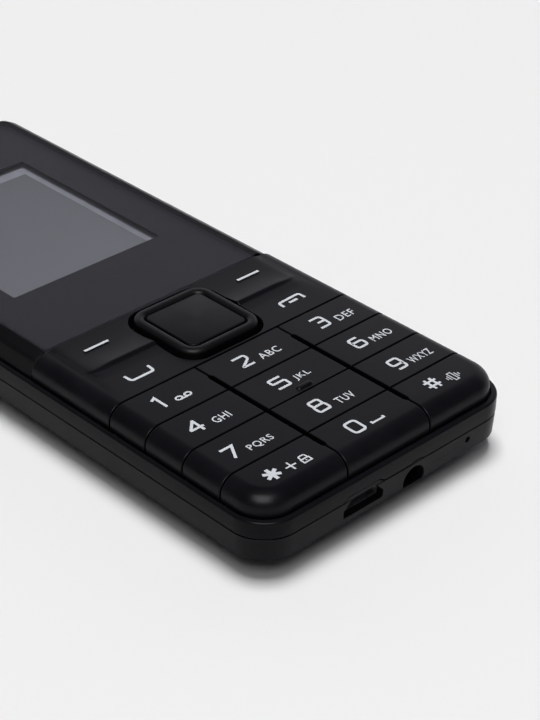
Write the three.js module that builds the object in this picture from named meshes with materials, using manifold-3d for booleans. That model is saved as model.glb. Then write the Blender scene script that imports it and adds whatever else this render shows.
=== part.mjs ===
// Keypad mobile phone in candybar form, in millimetres.
// X runs across the phone, Y from the port end to the earpiece end and Z from the resting
// face of the back up to the keys. The origin is the middle of the resting face.

import * as THREE from 'three';
import { LoftGeometry } from 'three/addons/geometries/LoftGeometry.js';
import { mergeVertices } from 'three/addons/utils/BufferGeometryUtils.js';
import Module from 'manifold-3d';

const wasm = await Module();
wasm.setup();

// Fineness of the round forms, in counts.
const cornerSteps = 6;
const smallCornerSteps = 2;
const shoulderSteps = 5;
const filletSteps = 3;
const roundSides = 20;
const smallRoundSides = 12;
const contactSides = 10;
const socketSides = 6;

// Cuts run past the faces that they open by this much.
const overrun = 1;
const sharpRadius = 0.05;
const smallCornerRadius = 1.6;

// Clearances.
const seatGap = 0.05;
const fitGap = 0.15;
const looseGap = 0.3;
const capGap = 0.25;

// Body outline and the heights of its visible lines above the resting face.
const bodyWidth = 48.8;
const bodyLength = 116.2;
const bodyCornerRadius = 5.7;
const bodyBackCornerRadius = 5;
const coverEdgeHeight = 2.83;
const partingHeight = 6.37;
const rimRise = 2.73;
const capRise = 3.3;
const plateauRise = 0.25;
const partingGap = 0.1;

// Raised body inside the rim: ledges round it, its corner and its shoulder.
const sideLedge = 0.9;
const portLedge = 1.05;
const earpieceLedge = 0.9;
const raisedCornerRadius = 4.95;
const raisedBackCornerRadius = 4.1;
const shoulderRadius = 2.5;
const skirtDepth = 0.3;
const skirtThickness = 1;

// Keypad layout: from the port end to the display, then the function panel and the rows.
const keypadLength = 48.31;
const functionDepth = 17.13;
const rowShare = 0.23733;
const columnPitch = 16;
const pressDepth = 0.3;
const pressGap = 0.1;
const capWall = 0.9;

// Wide groove along each column line, with short run-outs at its ends.
const grooveWidth = 0.8;
const grooveStart = 2.9;
const grooveEnd = 3.8;
const grooveRunOut = 0.6;

// Raised bar on the middle key.
const tactileBarLength = 2.6;
const tactileBarWidth = 0.7;
const tactileBarRise = 0.2;
const tactileBarOffset = 0.55;

// Raised soft key band of the function panel.
const plateauInset = 2.7;
const plateauDepth = 8.35;
const plateauCornerRadius = 1.5;
const plateauSlope = 0.9;

// Navigation ring, its carrier and the select key.
const ringHalf = 7.2;
const ringCornerRadius = 2.9;
const ringBand = 1.6;
const ringRise = 1;
const ringFillet = 0.7;
const ringWellGap = 0.8;
const ringHingeGap = 0.3;
const carrierThickness = 0.6;
const navPadLift = 0.35;
const navPadHoleHalf = 3.2;
const selectRise = 0.8;
const selectBevel = 0.15;
const selectPostHalf = 2.4;
const selectPressGap = 0.3;
const functionCarrierLift = 0.4;
const functionCarrierInset = 0.3;
const functionCarrierHoleGap = 0.7;

// Board stack under the keys.
const boardRise = 0.53;
const boardThickness = 0.8;
const boardEdgeGap = 0.5;
const boardCornerRadius = 6;
const domeFilmThickness = 0.15;
const domeHeight = 0.3;
const domeRadius = 2;
const domeTopRadius = 1.1;
const domeHoleRadius = 2.5;
const chassisGap = 0.1;
const chassisThickness = 0.4;
const webThickness = 0.6;
const webEdgeGap = 0.4;
const chassisEdgeGap = 0.2;
const plungerRadius = 1.25;
const pedestalHeight = 1.4;
const pedestalWidth = 6;
const pedestalDepth = 3;
const functionDomeInset = 9.9;
const functionDomeShift = 4.4;
const navDomeShift = 5.6;

// Front shell.
const shellWall = 1.2;
const shellPlateThickness = 1;
const shellSeatGap = 0.25;
const creaseInset = 0.95;
const creaseDrop = 0.8;
const lensInset = 2.75;
const bevelDrop = 0.05;

// Display lens, its printed border and the window in the print.
const lensThickness = 0.9;
const lensCornerRadius = 2;
const lensGap = 0.08;
const borderThickness = 0.1;
const borderInset = 0.1;
const windowSideGap = 6.55;
const windowFrontGap = 15.86;
const windowBackGap = 13.45;
const windowCornerRadius = 0.3;

// Display module behind the window.
const glassMargin = 1.4;
const glassDrop = 1;
const glassThickness = 0.9;
const moduleSideMargin = 2.8;
const moduleEndMargin = 5.03;
const moduleThickness = 1.6;
const moduleCornerRadius = 0.6;
const moduleRecess = 0.3;
const moduleFrame = 1;
const flexWidth = 10;
const flexThickness = 0.15;
const flexReach = 6;
const flexRunIn = 1.5;

// Earpiece at the top of the lens.
const earpieceInset = 7.9;
const earpieceSlotLength = 11;
const earpieceSlotWidth = 1.8;
const earpieceRecess = 0.35;
const earpieceMeshThickness = 0.7;
const earpieceGasketMargin = 1.1;
const earpieceWidth = 11.2;
const earpieceLength = 7.2;
const earpieceCornerRadius = 1.2;

// Rim frame.
const rimSeatDepth = 1.05;
const rimFlange = 1.4;
const rimTopFillet = 0.3;
const rimFootChamfer = 0.15;

// Outer profile of the back: taper of the side wall, then the bulge down to the flat.
const wallTopInset = 0.05;
const wallMiddleInset = 0.12;
const wallMiddleShare = 0.6;
const wallFootInset = 0.25;
const wallFootRise = 0.15;
const bulgeTopInset = 0.35;
const bulgeInset = 7.8;
const bulgeMiddleShares = [[0.4, 0.47], [0.6, 0.23], [0.8, 0.065]];

// Rear housing.
const housingWall = 1.9;
const housingFloorThickness = 0.5;
const housingFloorGap = 0.45;
const portBlockShare = 0.5773;
const partitionThickness = 1;
const portFloorThickness = 1.05;
const bayWall = 1;
const bayWallBottom = 2.2;

// Battery cover.
const coverGap = 0.1;
const coverThickness = 0.95;
const coverLipInset = 2.75;
const coverInnerShares = [[0.37, 0.72], [0.54, 0.37], [0.78, 0.12]];
const speakerSlotCount = 5;
const speakerSlotLength = 8;
const speakerSlotWidth = 0.9;
const speakerSlotPitch = 1.9;

// Battery with its contact block.
const batterySideInset = 7.4;
const batteryPortGap = 22;
const batteryBackInset = 27;
const batteryCornerRadius = 1.2;
const batteryEdge = 0.5;
const connectorWidth = 9;
const connectorLength = 5.2;
const connectorBottom = 2.6;
const connectorGap = 0.2;

// Card holders on the board.
const simPairGap = 1.4;
const simSideMargin = 1.3;
const simHolderLength = 25;
const memoryHolderWidth = 15;
const memoryHolderLength = 14;
const memoryHolderInset = 7;
const cardHolderGap = 2;
const cardSlotHeight = 0.5;
const cardSlotWall = 0.8;

// Shield cans on the board.
const canPairGap = 1;
const canSideMargin = 0.1;
const canLength = 14;
const canBackGap = 0.8;
const canHeight = 1.85;
const canWall = 0.25;

// Micro USB socket: the opening in the port end and the socket behind it.
const usbOffset = 5.7;
const usbDrop = 0.02;
const usbHeight = 2.6;
const usbWidth = 7.5;
const usbChamfer = 1.4;
const usbShellWall = 0.2;
const usbDepth = 5.8;
const usbFrontRecess = 1.2;
const usbBackWall = 0.8;
const usbLegWidth = 1;
const usbLegLength = 1.4;
const tongueWidth = 4.8;
const tongueThickness = 0.6;
const tongueDrop = 1.3;
const tongueRecess = 1;
const usbTabRise = 0.6;
const usbTabFootMargin = 0.3;
const usbTabTopMargin = 0.5;

// Headset jack, also with the small rise of the parting line above it.
const jackX = 4.2;
const jackWall = 0.45;
const jackOpeningGap = 0.25;
const jackBossWall = 1;
const jackFrontRecess = 6.2;
const jackWidth = 6;
const jackFootGap = 0.35;
const jackBoardGap = 1;
const jackBackWall = 0.8;
const jackTabRise = 0.25;
const jackTabFootHalf = 1.6;
const jackTabTopHalf = 0.5;
const jackTabShift = 0.4;

// Microphone.
const microphoneInset = 9.3;
const microphoneShare = 0.533;
const bootShare = 0.3077;
const microphoneHoleRadius = 0.45;
const microphoneRadius = 0.85;
const microphoneLength = 1.3;
const bootRecess = 0.5;
const bootLength = 2;

// Loudspeaker.
const speakerShare = 0.287;
const speakerSideGap = 9.4;
const speakerBackInset = 14;
const speakerRimMargin = 1.6;
const speakerRimStep = 0.5;

// Vibration motor with its off-centre weight.
const motorInset = 15.8;
const motorBackInset = 10.5;
const motorLength = 8.5;
const motorBoreRadius = 0.7;
const motorBoreDepth = 3;
const shaftRadius = 0.4;
const shaftDepth = 2.4;
const weightOverhang = 0.2;
const weightLength = 3;
const weightGap = 0.3;

// Antenna strip at the earpiece end.
const antennaSideInset = 8.4;
const antennaLength = 2.6;
const antennaEndGap = 0.4;
const antennaNotchWidth = 3;
const antennaNotchDepth = 1.2;

// Screws.
const screwSideInset = 4;
const screwLensInset = 17.8;
const screwBackInset = 8;
const screwHeadRadius = 1.4;
const screwHeadHeight = 0.95;
const screwShankRadius = 0.7;
const screwHoleRadius = 0.9;
const screwSocketRadius = 0.7;
const screwSocketDepth = 0.5;
const bossRadius = 2.1;

// Heights that follow from the sizes above.
const bodyHalfWidth = bodyWidth / 2;
const bodyHalfLength = bodyLength / 2;
const ledgeHeight = partingHeight + rimRise;
const keyTopHeight = ledgeHeight + capRise;
const boardBottom = partingHeight + boardRise;
const boardTop = boardBottom + boardThickness;
const domeFilmBottom = boardTop + seatGap;
const domeFilmTop = domeFilmBottom + domeFilmThickness;
const domeTop = domeFilmTop + domeHeight;
const chassisBottom = domeFilmTop + chassisGap;
const chassisTop = chassisBottom + chassisThickness;
const webBottom = chassisTop + chassisGap;
const webTop = webBottom + webThickness;
const pedestalTop = webTop + pedestalHeight;
const pocketTop = pedestalTop + pressDepth + pressGap;
const innerWallBottom = webTop + pressDepth + pressGap;
const skirtBottom = ledgeHeight - skirtDepth;
const rimSeatHeight = ledgeHeight - rimSeatDepth;
const shellBottom = rimSeatHeight + shellSeatGap;
const lensTop = keyTopHeight + plateauRise;
const lensBottom = lensTop - lensThickness;
const borderTop = lensBottom - seatGap;
const borderBottom = borderTop - borderThickness;
const shellPlateTop = borderBottom - seatGap;
const shellPlateBottom = shellPlateTop - shellPlateThickness;
const functionCarrierBottom = webTop + functionCarrierLift;
const functionCarrierTop = functionCarrierBottom + carrierThickness;
const panelBottom = functionCarrierTop + looseGap;
const navPadBottom = webTop + navPadLift;
const navPadTop = navPadBottom + carrierThickness;
const ringBottom = navPadTop + ringHingeGap;
const ringTop = keyTopHeight + ringRise;
const selectTop = keyTopHeight + selectRise;
const selectBottom = navPadTop + pressDepth + selectPressGap;
const housingTop = partingHeight - partingGap / 2;
const rimBottom = partingHeight + partingGap / 2;
const housingFloorTop = boardBottom - housingFloorGap;
const housingFloorBottom = housingFloorTop - housingFloorThickness;
const coverTop = coverEdgeHeight - coverGap;
const batteryBottom = coverThickness + looseGap;
const batteryTop = housingFloorBottom - fitGap;
const usbTop = partingHeight - usbDrop;
const usbBottom = usbTop - usbHeight;
const tongueHeight = usbTop - tongueDrop;
const jackBottom = portFloorThickness + jackFootGap;
const jackTop = boardBottom - jackBoardGap;
const jackZ = (jackBottom + jackTop) / 2;
const jackBoreRadius = (jackTop - jackBottom) / 2 - jackWall;
const jackOpeningRadius = jackBoreRadius + jackOpeningGap;
const jackBossRadius = jackOpeningRadius + jackBossWall;
const microphoneZ = THREE.MathUtils.lerp(coverEdgeHeight, boardBottom, microphoneShare);
const bootRadius = (boardBottom - coverEdgeHeight) * bootShare;
const motorZ = (housingFloorBottom + coverThickness) / 2;
const weightRadius = (housingFloorBottom - coverThickness) / 2 - fitGap;
const motorRadius = weightRadius - weightOverhang;

// Places that follow from the layout.
const lensLine = -bodyHalfLength + keypadLength;
const rowPitch = (keypadLength - functionDepth) * rowShare;
const rowLines = [0, 1, 2, 3].map((row) => lensLine - functionDepth - row * rowPitch);
const columnLine = columnPitch / 2;
const ringY = lensLine - functionDepth / 2;
const portBlockLength = (keypadLength - functionDepth) * portBlockShare;
const portBlockBack = -bodyHalfLength + portBlockLength;
const batteryWidth = bodyWidth - 2 * batterySideInset;
const batteryFront = portBlockBack + batteryPortGap;
const batteryLength = bodyHalfLength - batteryBackInset - batteryFront;
const memoryHolderFront = batteryFront + memoryHolderInset;
const simHolderFront = memoryHolderFront + memoryHolderLength + cardHolderGap;
const simHolderWidth = (batteryWidth - simPairGap) / 2 - simSideMargin;
const simHolderX = (simHolderWidth + simPairGap) / 2;
const canWidth = (batteryWidth - canPairGap) / 2 - canSideMargin;
const canX = (canWidth + canPairGap) / 2;
const bayHalfWidth = batteryWidth / 2 + looseGap;
const bayFront = batteryFront - looseGap;
const bayBack = batteryFront + batteryLength + looseGap;
const connectorBack = batteryFront - connectorGap;
const usbX = -usbOffset;
const microphoneX = bodyHalfWidth - microphoneInset;
const earpieceY = bodyHalfLength - earpieceInset;
const speakerRadius = bodyHalfWidth * speakerShare;
const speakerX = -(bodyHalfWidth - speakerSideGap - speakerRadius);
const speakerY = bodyHalfLength - speakerBackInset;
const motorX = bodyHalfWidth - motorInset;
const motorY = bodyHalfLength - motorBackInset;
const antennaWidth = bodyWidth - 2 * antennaSideInset;
const screwX = bodyHalfWidth - screwSideInset;
const screwPlaces = [rowLines[1], lensLine + screwLensInset, bodyHalfLength - screwBackInset];

// A plan outline: a rectangle with rounded corners, whose front pair and back pair have
// a radius each.
function plan(left, right, front, back, frontRadius, backRadius = frontRadius) {
  return { left, right, front, back, frontRadius, backRadius };
}

function centredPlan(width, length, radius, x = 0, y = 0) {
  return plan(x - width / 2, x + width / 2, y - length / 2, y + length / 2, radius);
}

function inset(outline, amount) {
  return {
    left: outline.left + amount,
    right: outline.right - amount,
    front: outline.front + amount,
    back: outline.back - amount,
    frontRadius: Math.max(outline.frontRadius - amount, sharpRadius),
    backRadius: Math.max(outline.backRadius - amount, sharpRadius),
  };
}

function ringPoints(outline, height, steps) {
  const { left, right, front, back } = outline;
  const largestRadius = Math.min(right - left, back - front) / 2 - sharpRadius;
  const frontRadius = Math.min(outline.frontRadius, largestRadius);
  const backRadius = Math.min(outline.backRadius, largestRadius);
  const corners = [
    { x: right - backRadius, y: back - backRadius, radius: backRadius, quarter: 0 },
    { x: left + backRadius, y: back - backRadius, radius: backRadius, quarter: 1 },
    { x: left + frontRadius, y: front + frontRadius, radius: frontRadius, quarter: 2 },
    { x: right - frontRadius, y: front + frontRadius, radius: frontRadius, quarter: 3 },
  ];
  const points = [];
  for (const { x, y, radius, quarter } of corners) {
    for (let step = 0; step <= steps; step += 1) {
      const angle = (quarter + step / steps) * Math.PI / 2;
      points.push(new THREE.Vector3(x + radius * Math.cos(angle), y + radius * Math.sin(angle), height));
    }
  }
  return points;
}

// Closed mesh to solid and back.
function solidOf(geometry) {
  const bare = new THREE.BufferGeometry();
  bare.setAttribute('position', geometry.attributes.position);
  bare.setIndex(geometry.index);
  const merged = mergeVertices(bare);
  return new wasm.Manifold(new wasm.Mesh({
    numProp: 3,
    vertProperties: merged.attributes.position.array,
    triVerts: new Uint32Array(merged.index.array),
  }));
}

function geometryOf(solid) {
  const mesh = solid.getMesh();
  const geometry = new THREE.BufferGeometry();
  geometry.setAttribute('position', new THREE.BufferAttribute(new Float32Array(mesh.vertProperties), 3));
  geometry.setIndex(new THREE.BufferAttribute(new Uint32Array(mesh.triVerts), 1));
  geometry.computeVertexNormals();
  return geometry;
}

// A solid skinned through insets of one outline. Each layer is an inset and a height.
function loft(outline, layers) {
  const largeCorners = Math.max(outline.frontRadius, outline.backRadius) > smallCornerRadius;
  const steps = largeCorners ? cornerSteps : smallCornerSteps;
  const sections = layers.map(([amount, height]) => ringPoints(inset(outline, amount), height, steps));
  return solidOf(new LoftGeometry(sections, { capStart: true, capEnd: true }));
}

function slab(outline, bottom, top) {
  return loft(outline, [[0, bottom], [0, top]]);
}

function block(left, right, front, back, bottom, top) {
  const geometry = new THREE.BoxGeometry(right - left, back - front, top - bottom);
  geometry.translate((left + right) / 2, (front + back) / 2, (bottom + top) / 2);
  return solidOf(geometry);
}

function post(x, y, bottom, top, radius, topRadius = radius, sides = roundSides) {
  const geometry = new THREE.CylinderGeometry(topRadius, radius, top - bottom, sides);
  geometry.rotateX(Math.PI / 2);
  geometry.translate(x, y, (bottom + top) / 2);
  return solidOf(geometry);
}

function barrel(x, z, front, back, radius, sides = roundSides) {
  const geometry = new THREE.CylinderGeometry(radius, radius, back - front, sides);
  geometry.translate(x, (front + back) / 2, z);
  return solidOf(geometry);
}

function axle(y, z, left, right, radius, sides = roundSides) {
  const geometry = new THREE.CylinderGeometry(radius, radius, right - left, sides);
  geometry.rotateZ(Math.PI / 2);
  geometry.translate((left + right) / 2, y, z);
  return solidOf(geometry);
}

// Prism that stands on a plan polygon.
function prism(points, bottom, top) {
  const shape = new THREE.Shape(points.map(([x, y]) => new THREE.Vector2(x, y)));
  const geometry = new THREE.ExtrudeGeometry(shape, { depth: top - bottom, bevelEnabled: false });
  geometry.translate(0, 0, bottom);
  return solidOf(geometry);
}

// Prism that runs along Y over a polygon of X and Z.
function lengthwisePrism(points, front, back) {
  const shape = new THREE.Shape(points.map(([x, z]) => new THREE.Vector2(x, z)));
  const geometry = new THREE.ExtrudeGeometry(shape, { depth: back - front, bevelEnabled: false });
  geometry.rotateX(Math.PI / 2);
  geometry.translate(0, back, 0);
  return solidOf(geometry);
}

// Prism that runs along X over a polygon of Y and Z.
function crosswisePrism(points, left, right) {
  const shape = new THREE.Shape(points.map(([y, z]) => new THREE.Vector2(y, z)));
  const geometry = new THREE.ExtrudeGeometry(shape, { depth: right - left, bevelEnabled: false });
  geometry.rotateY(Math.PI / 2);
  geometry.rotateX(Math.PI / 2);
  geometry.translate(left, 0, 0);
  return solidOf(geometry);
}

function joined(solids) {
  return solids.reduce((whole, solid) => whole.add(solid));
}

function cut(solid, cutters) {
  return cutters.reduce((rest, cutter) => rest.subtract(cutter), solid);
}

// Quarter round from a vertical wall to a flat top.
function shoulderLayers(radius, top, steps = shoulderSteps) {
  const layers = [];
  for (let step = 0; step <= steps; step += 1) {
    const angle = (step / steps) * Math.PI / 2;
    layers.push([radius * (1 - Math.cos(angle)), top - radius * (1 - Math.sin(angle))]);
  }
  return layers;
}

const bodyPlan = plan(
  -bodyHalfWidth,
  bodyHalfWidth,
  -bodyHalfLength,
  bodyHalfLength,
  bodyCornerRadius,
  bodyBackCornerRadius,
);
const raisedPlan = plan(
  -bodyHalfWidth + sideLedge,
  bodyHalfWidth - sideLedge,
  -bodyHalfLength + portLedge,
  bodyHalfLength - earpieceLedge,
  raisedCornerRadius,
  raisedBackCornerRadius,
);

// Form that all caps share: walls up to the shoulder, then flat at the key tops.
const capForm = loft(raisedPlan, [[0, skirtBottom], ...shoulderLayers(shoulderRadius, keyTopHeight)]);
const skirtInnerPlan = inset(raisedPlan, skirtThickness);

// Half of the gap at a column line: wide in the groove, thin past its run-outs.
function halfGapAt(y) {
  const backEnd = rowLines[0] - grooveStart;
  const frontEnd = rowLines[3] - grooveEnd;
  const past = Math.max(y - (backEnd - grooveRunOut), frontEnd + grooveRunOut - y, 0);
  const share = Math.min(past / grooveRunOut, 1);
  return THREE.MathUtils.lerp(grooveWidth, capGap, share) / 2;
}

// Points of a cap's edge along a column line, from its front end to its back end.
function columnEdge(line, side, front, back) {
  const backEnd = rowLines[0] - grooveStart;
  const frontEnd = rowLines[3] - grooveEnd;
  const bends = [frontEnd, frontEnd + grooveRunOut, backEnd - grooveRunOut, backEnd];
  const stations = [front, ...bends.filter((y) => y > front && y < back), back];
  return stations.map((y) => [line + side * halfGapAt(y), y]);
}

function numberKey(row, column, bars = []) {
  const back = rowLines[row] - capGap / 2;
  const lastRow = row === rowLines.length - 1;
  const front = lastRow ? -bodyHalfLength : rowLines[row + 1] + capGap / 2;
  const outer = bodyHalfWidth;
  const leftEdge = column === 0
    ? [[-outer, front], [-outer, back]]
    : columnEdge(column === 1 ? -columnLine : columnLine, 1, front, back);
  const rightEdge = column === 2
    ? [[outer, front], [outer, back]]
    : columnEdge(column === 0 ? -columnLine : columnLine, -1, front, back);
  const cell = prism([...rightEdge, ...leftEdge.reverse()], skirtBottom - overrun, keyTopHeight + overrun);
  const pocketEdge = grooveWidth / 2 + capWall;
  const pocketLeft = column === 0 ? -outer : (column - 1) * columnPitch - columnLine + pocketEdge;
  const pocketRight = column === 2 ? outer : (column - 1) * columnPitch + columnLine - pocketEdge;
  const pocketFront = lastRow ? -bodyHalfLength : front + capWall;
  const pocketCell = block(
    pocketLeft,
    pocketRight,
    pocketFront,
    back - capWall,
    skirtBottom - overrun,
    pocketTop,
  );
  const pocket = slab(skirtInnerPlan, skirtBottom - overrun, pocketTop).intersect(pocketCell);
  const webRoom = slab(skirtInnerPlan, skirtBottom - overrun, innerWallBottom);
  return cut(joined([capForm.intersect(cell), ...bars]), [webRoom, pocket]);
}

function tactileBar() {
  const front = rowLines[2] + tactileBarOffset;
  const barPlan = plan(
    -tactileBarLength / 2,
    tactileBarLength / 2,
    front,
    front + tactileBarWidth,
    tactileBarWidth / 2,
  );
  const foot = keyTopHeight - tactileBarRise;
  return loft(barPlan, [[0, foot], [0, keyTopHeight], [tactileBarRise, keyTopHeight + tactileBarRise]]);
}

const ringPlan = centredPlan(2 * ringHalf, 2 * ringHalf, ringCornerRadius, 0, ringY);
const ringHolePlan = inset(ringPlan, ringBand);
const wellPlan = inset(ringPlan, -ringWellGap);

function functionPanel() {
  const front = rowLines[0] + capGap / 2;
  const back = lensLine - capGap / 2;
  const plateauPlan = plan(
    raisedPlan.left + plateauInset,
    raisedPlan.right - plateauInset,
    lensLine - plateauDepth,
    lensLine + overrun + plateauSlope,
    plateauCornerRadius,
  );
  const plateau = loft(plateauPlan, [
    [0, pocketTop],
    [0, keyTopHeight],
    [plateauSlope / 3, keyTopHeight + plateauRise / 4],
    [plateauSlope * 2 / 3, keyTopHeight + plateauRise * 3 / 4],
    [plateauSlope, keyTopHeight + plateauRise],
  ]);
  const cell = block(-bodyHalfWidth, bodyHalfWidth, front, back, skirtBottom - overrun, lensTop + overrun);
  const carrierRoom = slab(skirtInnerPlan, skirtBottom - overrun, panelBottom);
  const well = slab(wellPlan, skirtBottom - overrun, lensTop + overrun);
  return cut(capForm.add(plateau).intersect(cell), [carrierRoom, well]);
}

function functionCarrier() {
  const outline = plan(
    skirtInnerPlan.left + webEdgeGap,
    skirtInnerPlan.right - webEdgeGap,
    rowLines[0] + functionCarrierInset,
    lensLine - functionCarrierInset,
    functionCarrierInset,
  );
  const holePlan = inset(wellPlan, -functionCarrierHoleGap);
  const hole = slab(holePlan, functionCarrierBottom - overrun, functionCarrierTop + overrun);
  const holePart = hole.intersect(block(
    -bodyHalfWidth,
    bodyHalfWidth,
    outline.front + capWall,
    outline.back - capWall,
    functionCarrierBottom - overrun,
    functionCarrierTop + overrun,
  ));
  return slab(outline, functionCarrierBottom, functionCarrierTop).subtract(holePart);
}

function navPad() {
  const holePlan = centredPlan(2 * navPadHoleHalf, 2 * navPadHoleHalf, looseGap, 0, ringY);
  const hole = slab(holePlan, navPadBottom - overrun, navPadTop + overrun);
  return slab(ringPlan, navPadBottom, navPadTop).subtract(hole);
}

function navRing() {
  const outer = loft(ringPlan, [[0, ringBottom], ...shoulderLayers(ringFillet, ringTop, filletSteps)]);
  const fillet = shoulderLayers(ringFillet, ringTop, filletSteps);
  const flare = fillet.map(([amount, height]) => [-amount, height]);
  const hole = loft(ringHolePlan, [[0, ringBottom - overrun], ...flare, [-ringFillet, ringTop + overrun]]);
  return outer.subtract(hole);
}

function selectKey() {
  const keyPlan = inset(ringHolePlan, capGap);
  const cap = loft(keyPlan, [[0, selectBottom], [0, selectTop - selectBevel], [selectBevel, selectTop]]);
  const postPlan = centredPlan(2 * selectPostHalf, 2 * selectPostHalf, looseGap, 0, ringY);
  return cap.add(slab(postPlan, innerWallBottom, selectTop - selectBevel));
}

// Places of the key contacts on the board.
const keyColumns = [-1, 0, 1].map((column) => {
  const outerEdge = raisedPlan.right;
  return column * (columnLine + outerEdge) / 2;
});
const keyRows = rowLines.map((line) => line - rowPitch / 2);
const numberContacts = keyRows.flatMap((y) => keyColumns.map((x) => [x, y]));
const functionContacts = [-1, 1].flatMap((side) => [
  [side * (bodyHalfWidth - functionDomeInset), ringY + functionDomeShift],
  [side * (bodyHalfWidth - functionDomeInset), ringY - functionDomeShift],
]);
const navContacts = [
  [0, ringY],
  [navDomeShift, ringY],
  [-navDomeShift, ringY],
  [0, ringY + navDomeShift],
  [0, ringY - navDomeShift],
];
const contacts = [...numberContacts, ...functionContacts, ...navContacts];

function keypadPlan(edgeGap) {
  return plan(
    skirtInnerPlan.left + edgeGap,
    skirtInnerPlan.right - edgeGap,
    skirtInnerPlan.front + edgeGap,
    lensLine - edgeGap,
    skirtInnerPlan.frontRadius,
    edgeGap,
  );
}

function keypadMat() {
  const web = slab(keypadPlan(webEdgeGap), webBottom, webTop);
  const plungers = contacts.map(([x, y]) => (
    post(x, y, domeTop + chassisGap, webTop, plungerRadius, plungerRadius, contactSides)
  ));
  const pedestals = numberContacts.map(([x, y]) => (
    block(
      x - pedestalWidth / 2,
      x + pedestalWidth / 2,
      y - pedestalDepth / 2,
      y + pedestalDepth / 2,
      webBottom,
      pedestalTop,
    )
  ));
  return joined([web, ...plungers, ...pedestals]);
}

function keypadChassis() {
  const plate = slab(keypadPlan(chassisEdgeGap), chassisBottom, chassisTop);
  const holes = contacts.map(([x, y]) => (
    post(x, y, chassisBottom - overrun, chassisTop + overrun, domeHoleRadius, domeHoleRadius, contactSides)
  ));
  return cut(plate, [...holes, ...screwHoles(chassisBottom - overrun, chassisTop + overrun)]);
}

function domeSheet() {
  const film = slab(keypadPlan(webEdgeGap), domeFilmBottom, domeFilmTop);
  const domes = contacts.map(([x, y]) => (
    post(x, y, domeFilmBottom, domeTop, domeRadius, domeTopRadius, contactSides)
  ));
  return cut(joined([film, ...domes]), screwHoles(domeFilmBottom - overrun, domeTop + overrun));
}

function screwHoles(bottom, top) {
  return screwPlaces.flatMap((y) => [-screwX, screwX].map((x) => (
    post(x, y, bottom, top, screwHoleRadius, screwHoleRadius, smallRoundSides)
  )));
}

const boardPlan = plan(
  bodyPlan.left + rimFlange + boardEdgeGap,
  bodyPlan.right - rimFlange - boardEdgeGap,
  bodyPlan.front + rimFlange + boardEdgeGap,
  bodyPlan.back - rimFlange - boardEdgeGap,
  boardCornerRadius,
);

function mainBoard() {
  return cut(slab(boardPlan, boardBottom, boardTop), screwHoles(boardBottom - overrun, boardTop + overrun));
}

const lensPlan = plan(
  raisedPlan.left + lensInset,
  raisedPlan.right - lensInset,
  lensLine + capGap / 2,
  raisedPlan.back - lensInset,
  sharpRadius,
  lensCornerRadius,
);
const windowPlan = plan(
  lensPlan.left + windowSideGap,
  lensPlan.right - windowSideGap,
  lensLine + windowFrontGap,
  lensPlan.back - windowBackGap,
  windowCornerRadius,
);
const glassPlan = inset(windowPlan, -glassMargin);
const earpiecePlan = centredPlan(
  earpieceSlotLength,
  earpieceSlotWidth,
  earpieceSlotWidth / 2,
  0,
  earpieceY,
);
const gasketPlan = inset(earpiecePlan, -earpieceGasketMargin);

function frontShell() {
  const form = loft(raisedPlan, [
    [0, shellBottom],
    [0, ledgeHeight],
    [creaseInset, keyTopHeight - creaseDrop],
    [lensInset, lensTop - bevelDrop],
  ]);
  const upperCell = block(
    -bodyHalfWidth,
    bodyHalfWidth,
    lensPlan.front,
    bodyHalfLength,
    shellBottom - overrun,
    lensTop + overrun,
  );
  const lensRoom = inset(lensPlan, -lensGap);
  lensRoom.front -= overrun;
  const cavityPlan = inset(raisedPlan, shellWall);
  const cuts = [
    slab(lensRoom, shellPlateTop, lensTop + overrun),
    slab(cavityPlan, shellBottom - overrun, shellPlateBottom),
    slab(inset(glassPlan, -looseGap), shellPlateBottom - overrun, shellPlateTop + overrun),
    slab(gasketPlan, shellPlateBottom - overrun, shellPlateTop + overrun),
  ];
  const bosses = screwPlaces.filter((y) => y > lensLine).flatMap((y) => [-screwX, screwX].map((x) => (
    post(x, y, boardTop + shellSeatGap, shellPlateTop, bossRadius)
  )));
  const body = cut(form.intersect(upperCell), cuts).add(joined(bosses));
  return cut(body, screwHoles(boardBottom, chassisTop + looseGap));
}

function displayLens() {
  const slot = slab(earpiecePlan, lensBottom - overrun, lensTop + overrun);
  return slab(lensPlan, lensBottom, lensTop).subtract(slot);
}

function lensBorder() {
  const film = slab(inset(lensPlan, borderInset), borderBottom, borderTop);
  const window = slab(windowPlan, borderBottom - overrun, borderTop + overrun);
  const slot = slab(earpiecePlan, borderBottom - overrun, borderTop + overrun);
  return cut(film, [window, slot]);
}

const glassTop = shellPlateTop - glassDrop;
const glassBottom = glassTop - glassThickness;
const moduleTop = glassBottom - seatGap;
const moduleBottom = moduleTop - moduleThickness;
const modulePlan = plan(
  windowPlan.left - moduleSideMargin,
  windowPlan.right + moduleSideMargin,
  windowPlan.front - moduleEndMargin,
  windowPlan.back + moduleEndMargin,
  moduleCornerRadius,
);

function lcdModule() {
  const recess = slab(inset(modulePlan, moduleFrame), moduleTop - moduleRecess, moduleTop + overrun);
  return slab(modulePlan, moduleBottom, moduleTop).subtract(recess);
}

function lcdFlex() {
  const start = modulePlan.front - seatGap;
  const end = start - flexReach;
  const high = moduleBottom + moduleThickness / 2;
  const low = boardTop + seatGap;
  const profile = [
    [start, high],
    [start, high + flexThickness],
    [start - flexRunIn, high + flexThickness],
    [end + flexRunIn, low + flexThickness],
    [end, low + flexThickness],
    [end, low],
    [end + flexRunIn, low],
    [start - flexRunIn, high],
  ];
  return crosswisePrism(profile, -flexWidth / 2, flexWidth / 2);
}

function earpieceMesh() {
  const top = lensTop - earpieceRecess;
  return slab(inset(earpiecePlan, fitGap), top - earpieceMeshThickness, top);
}

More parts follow.
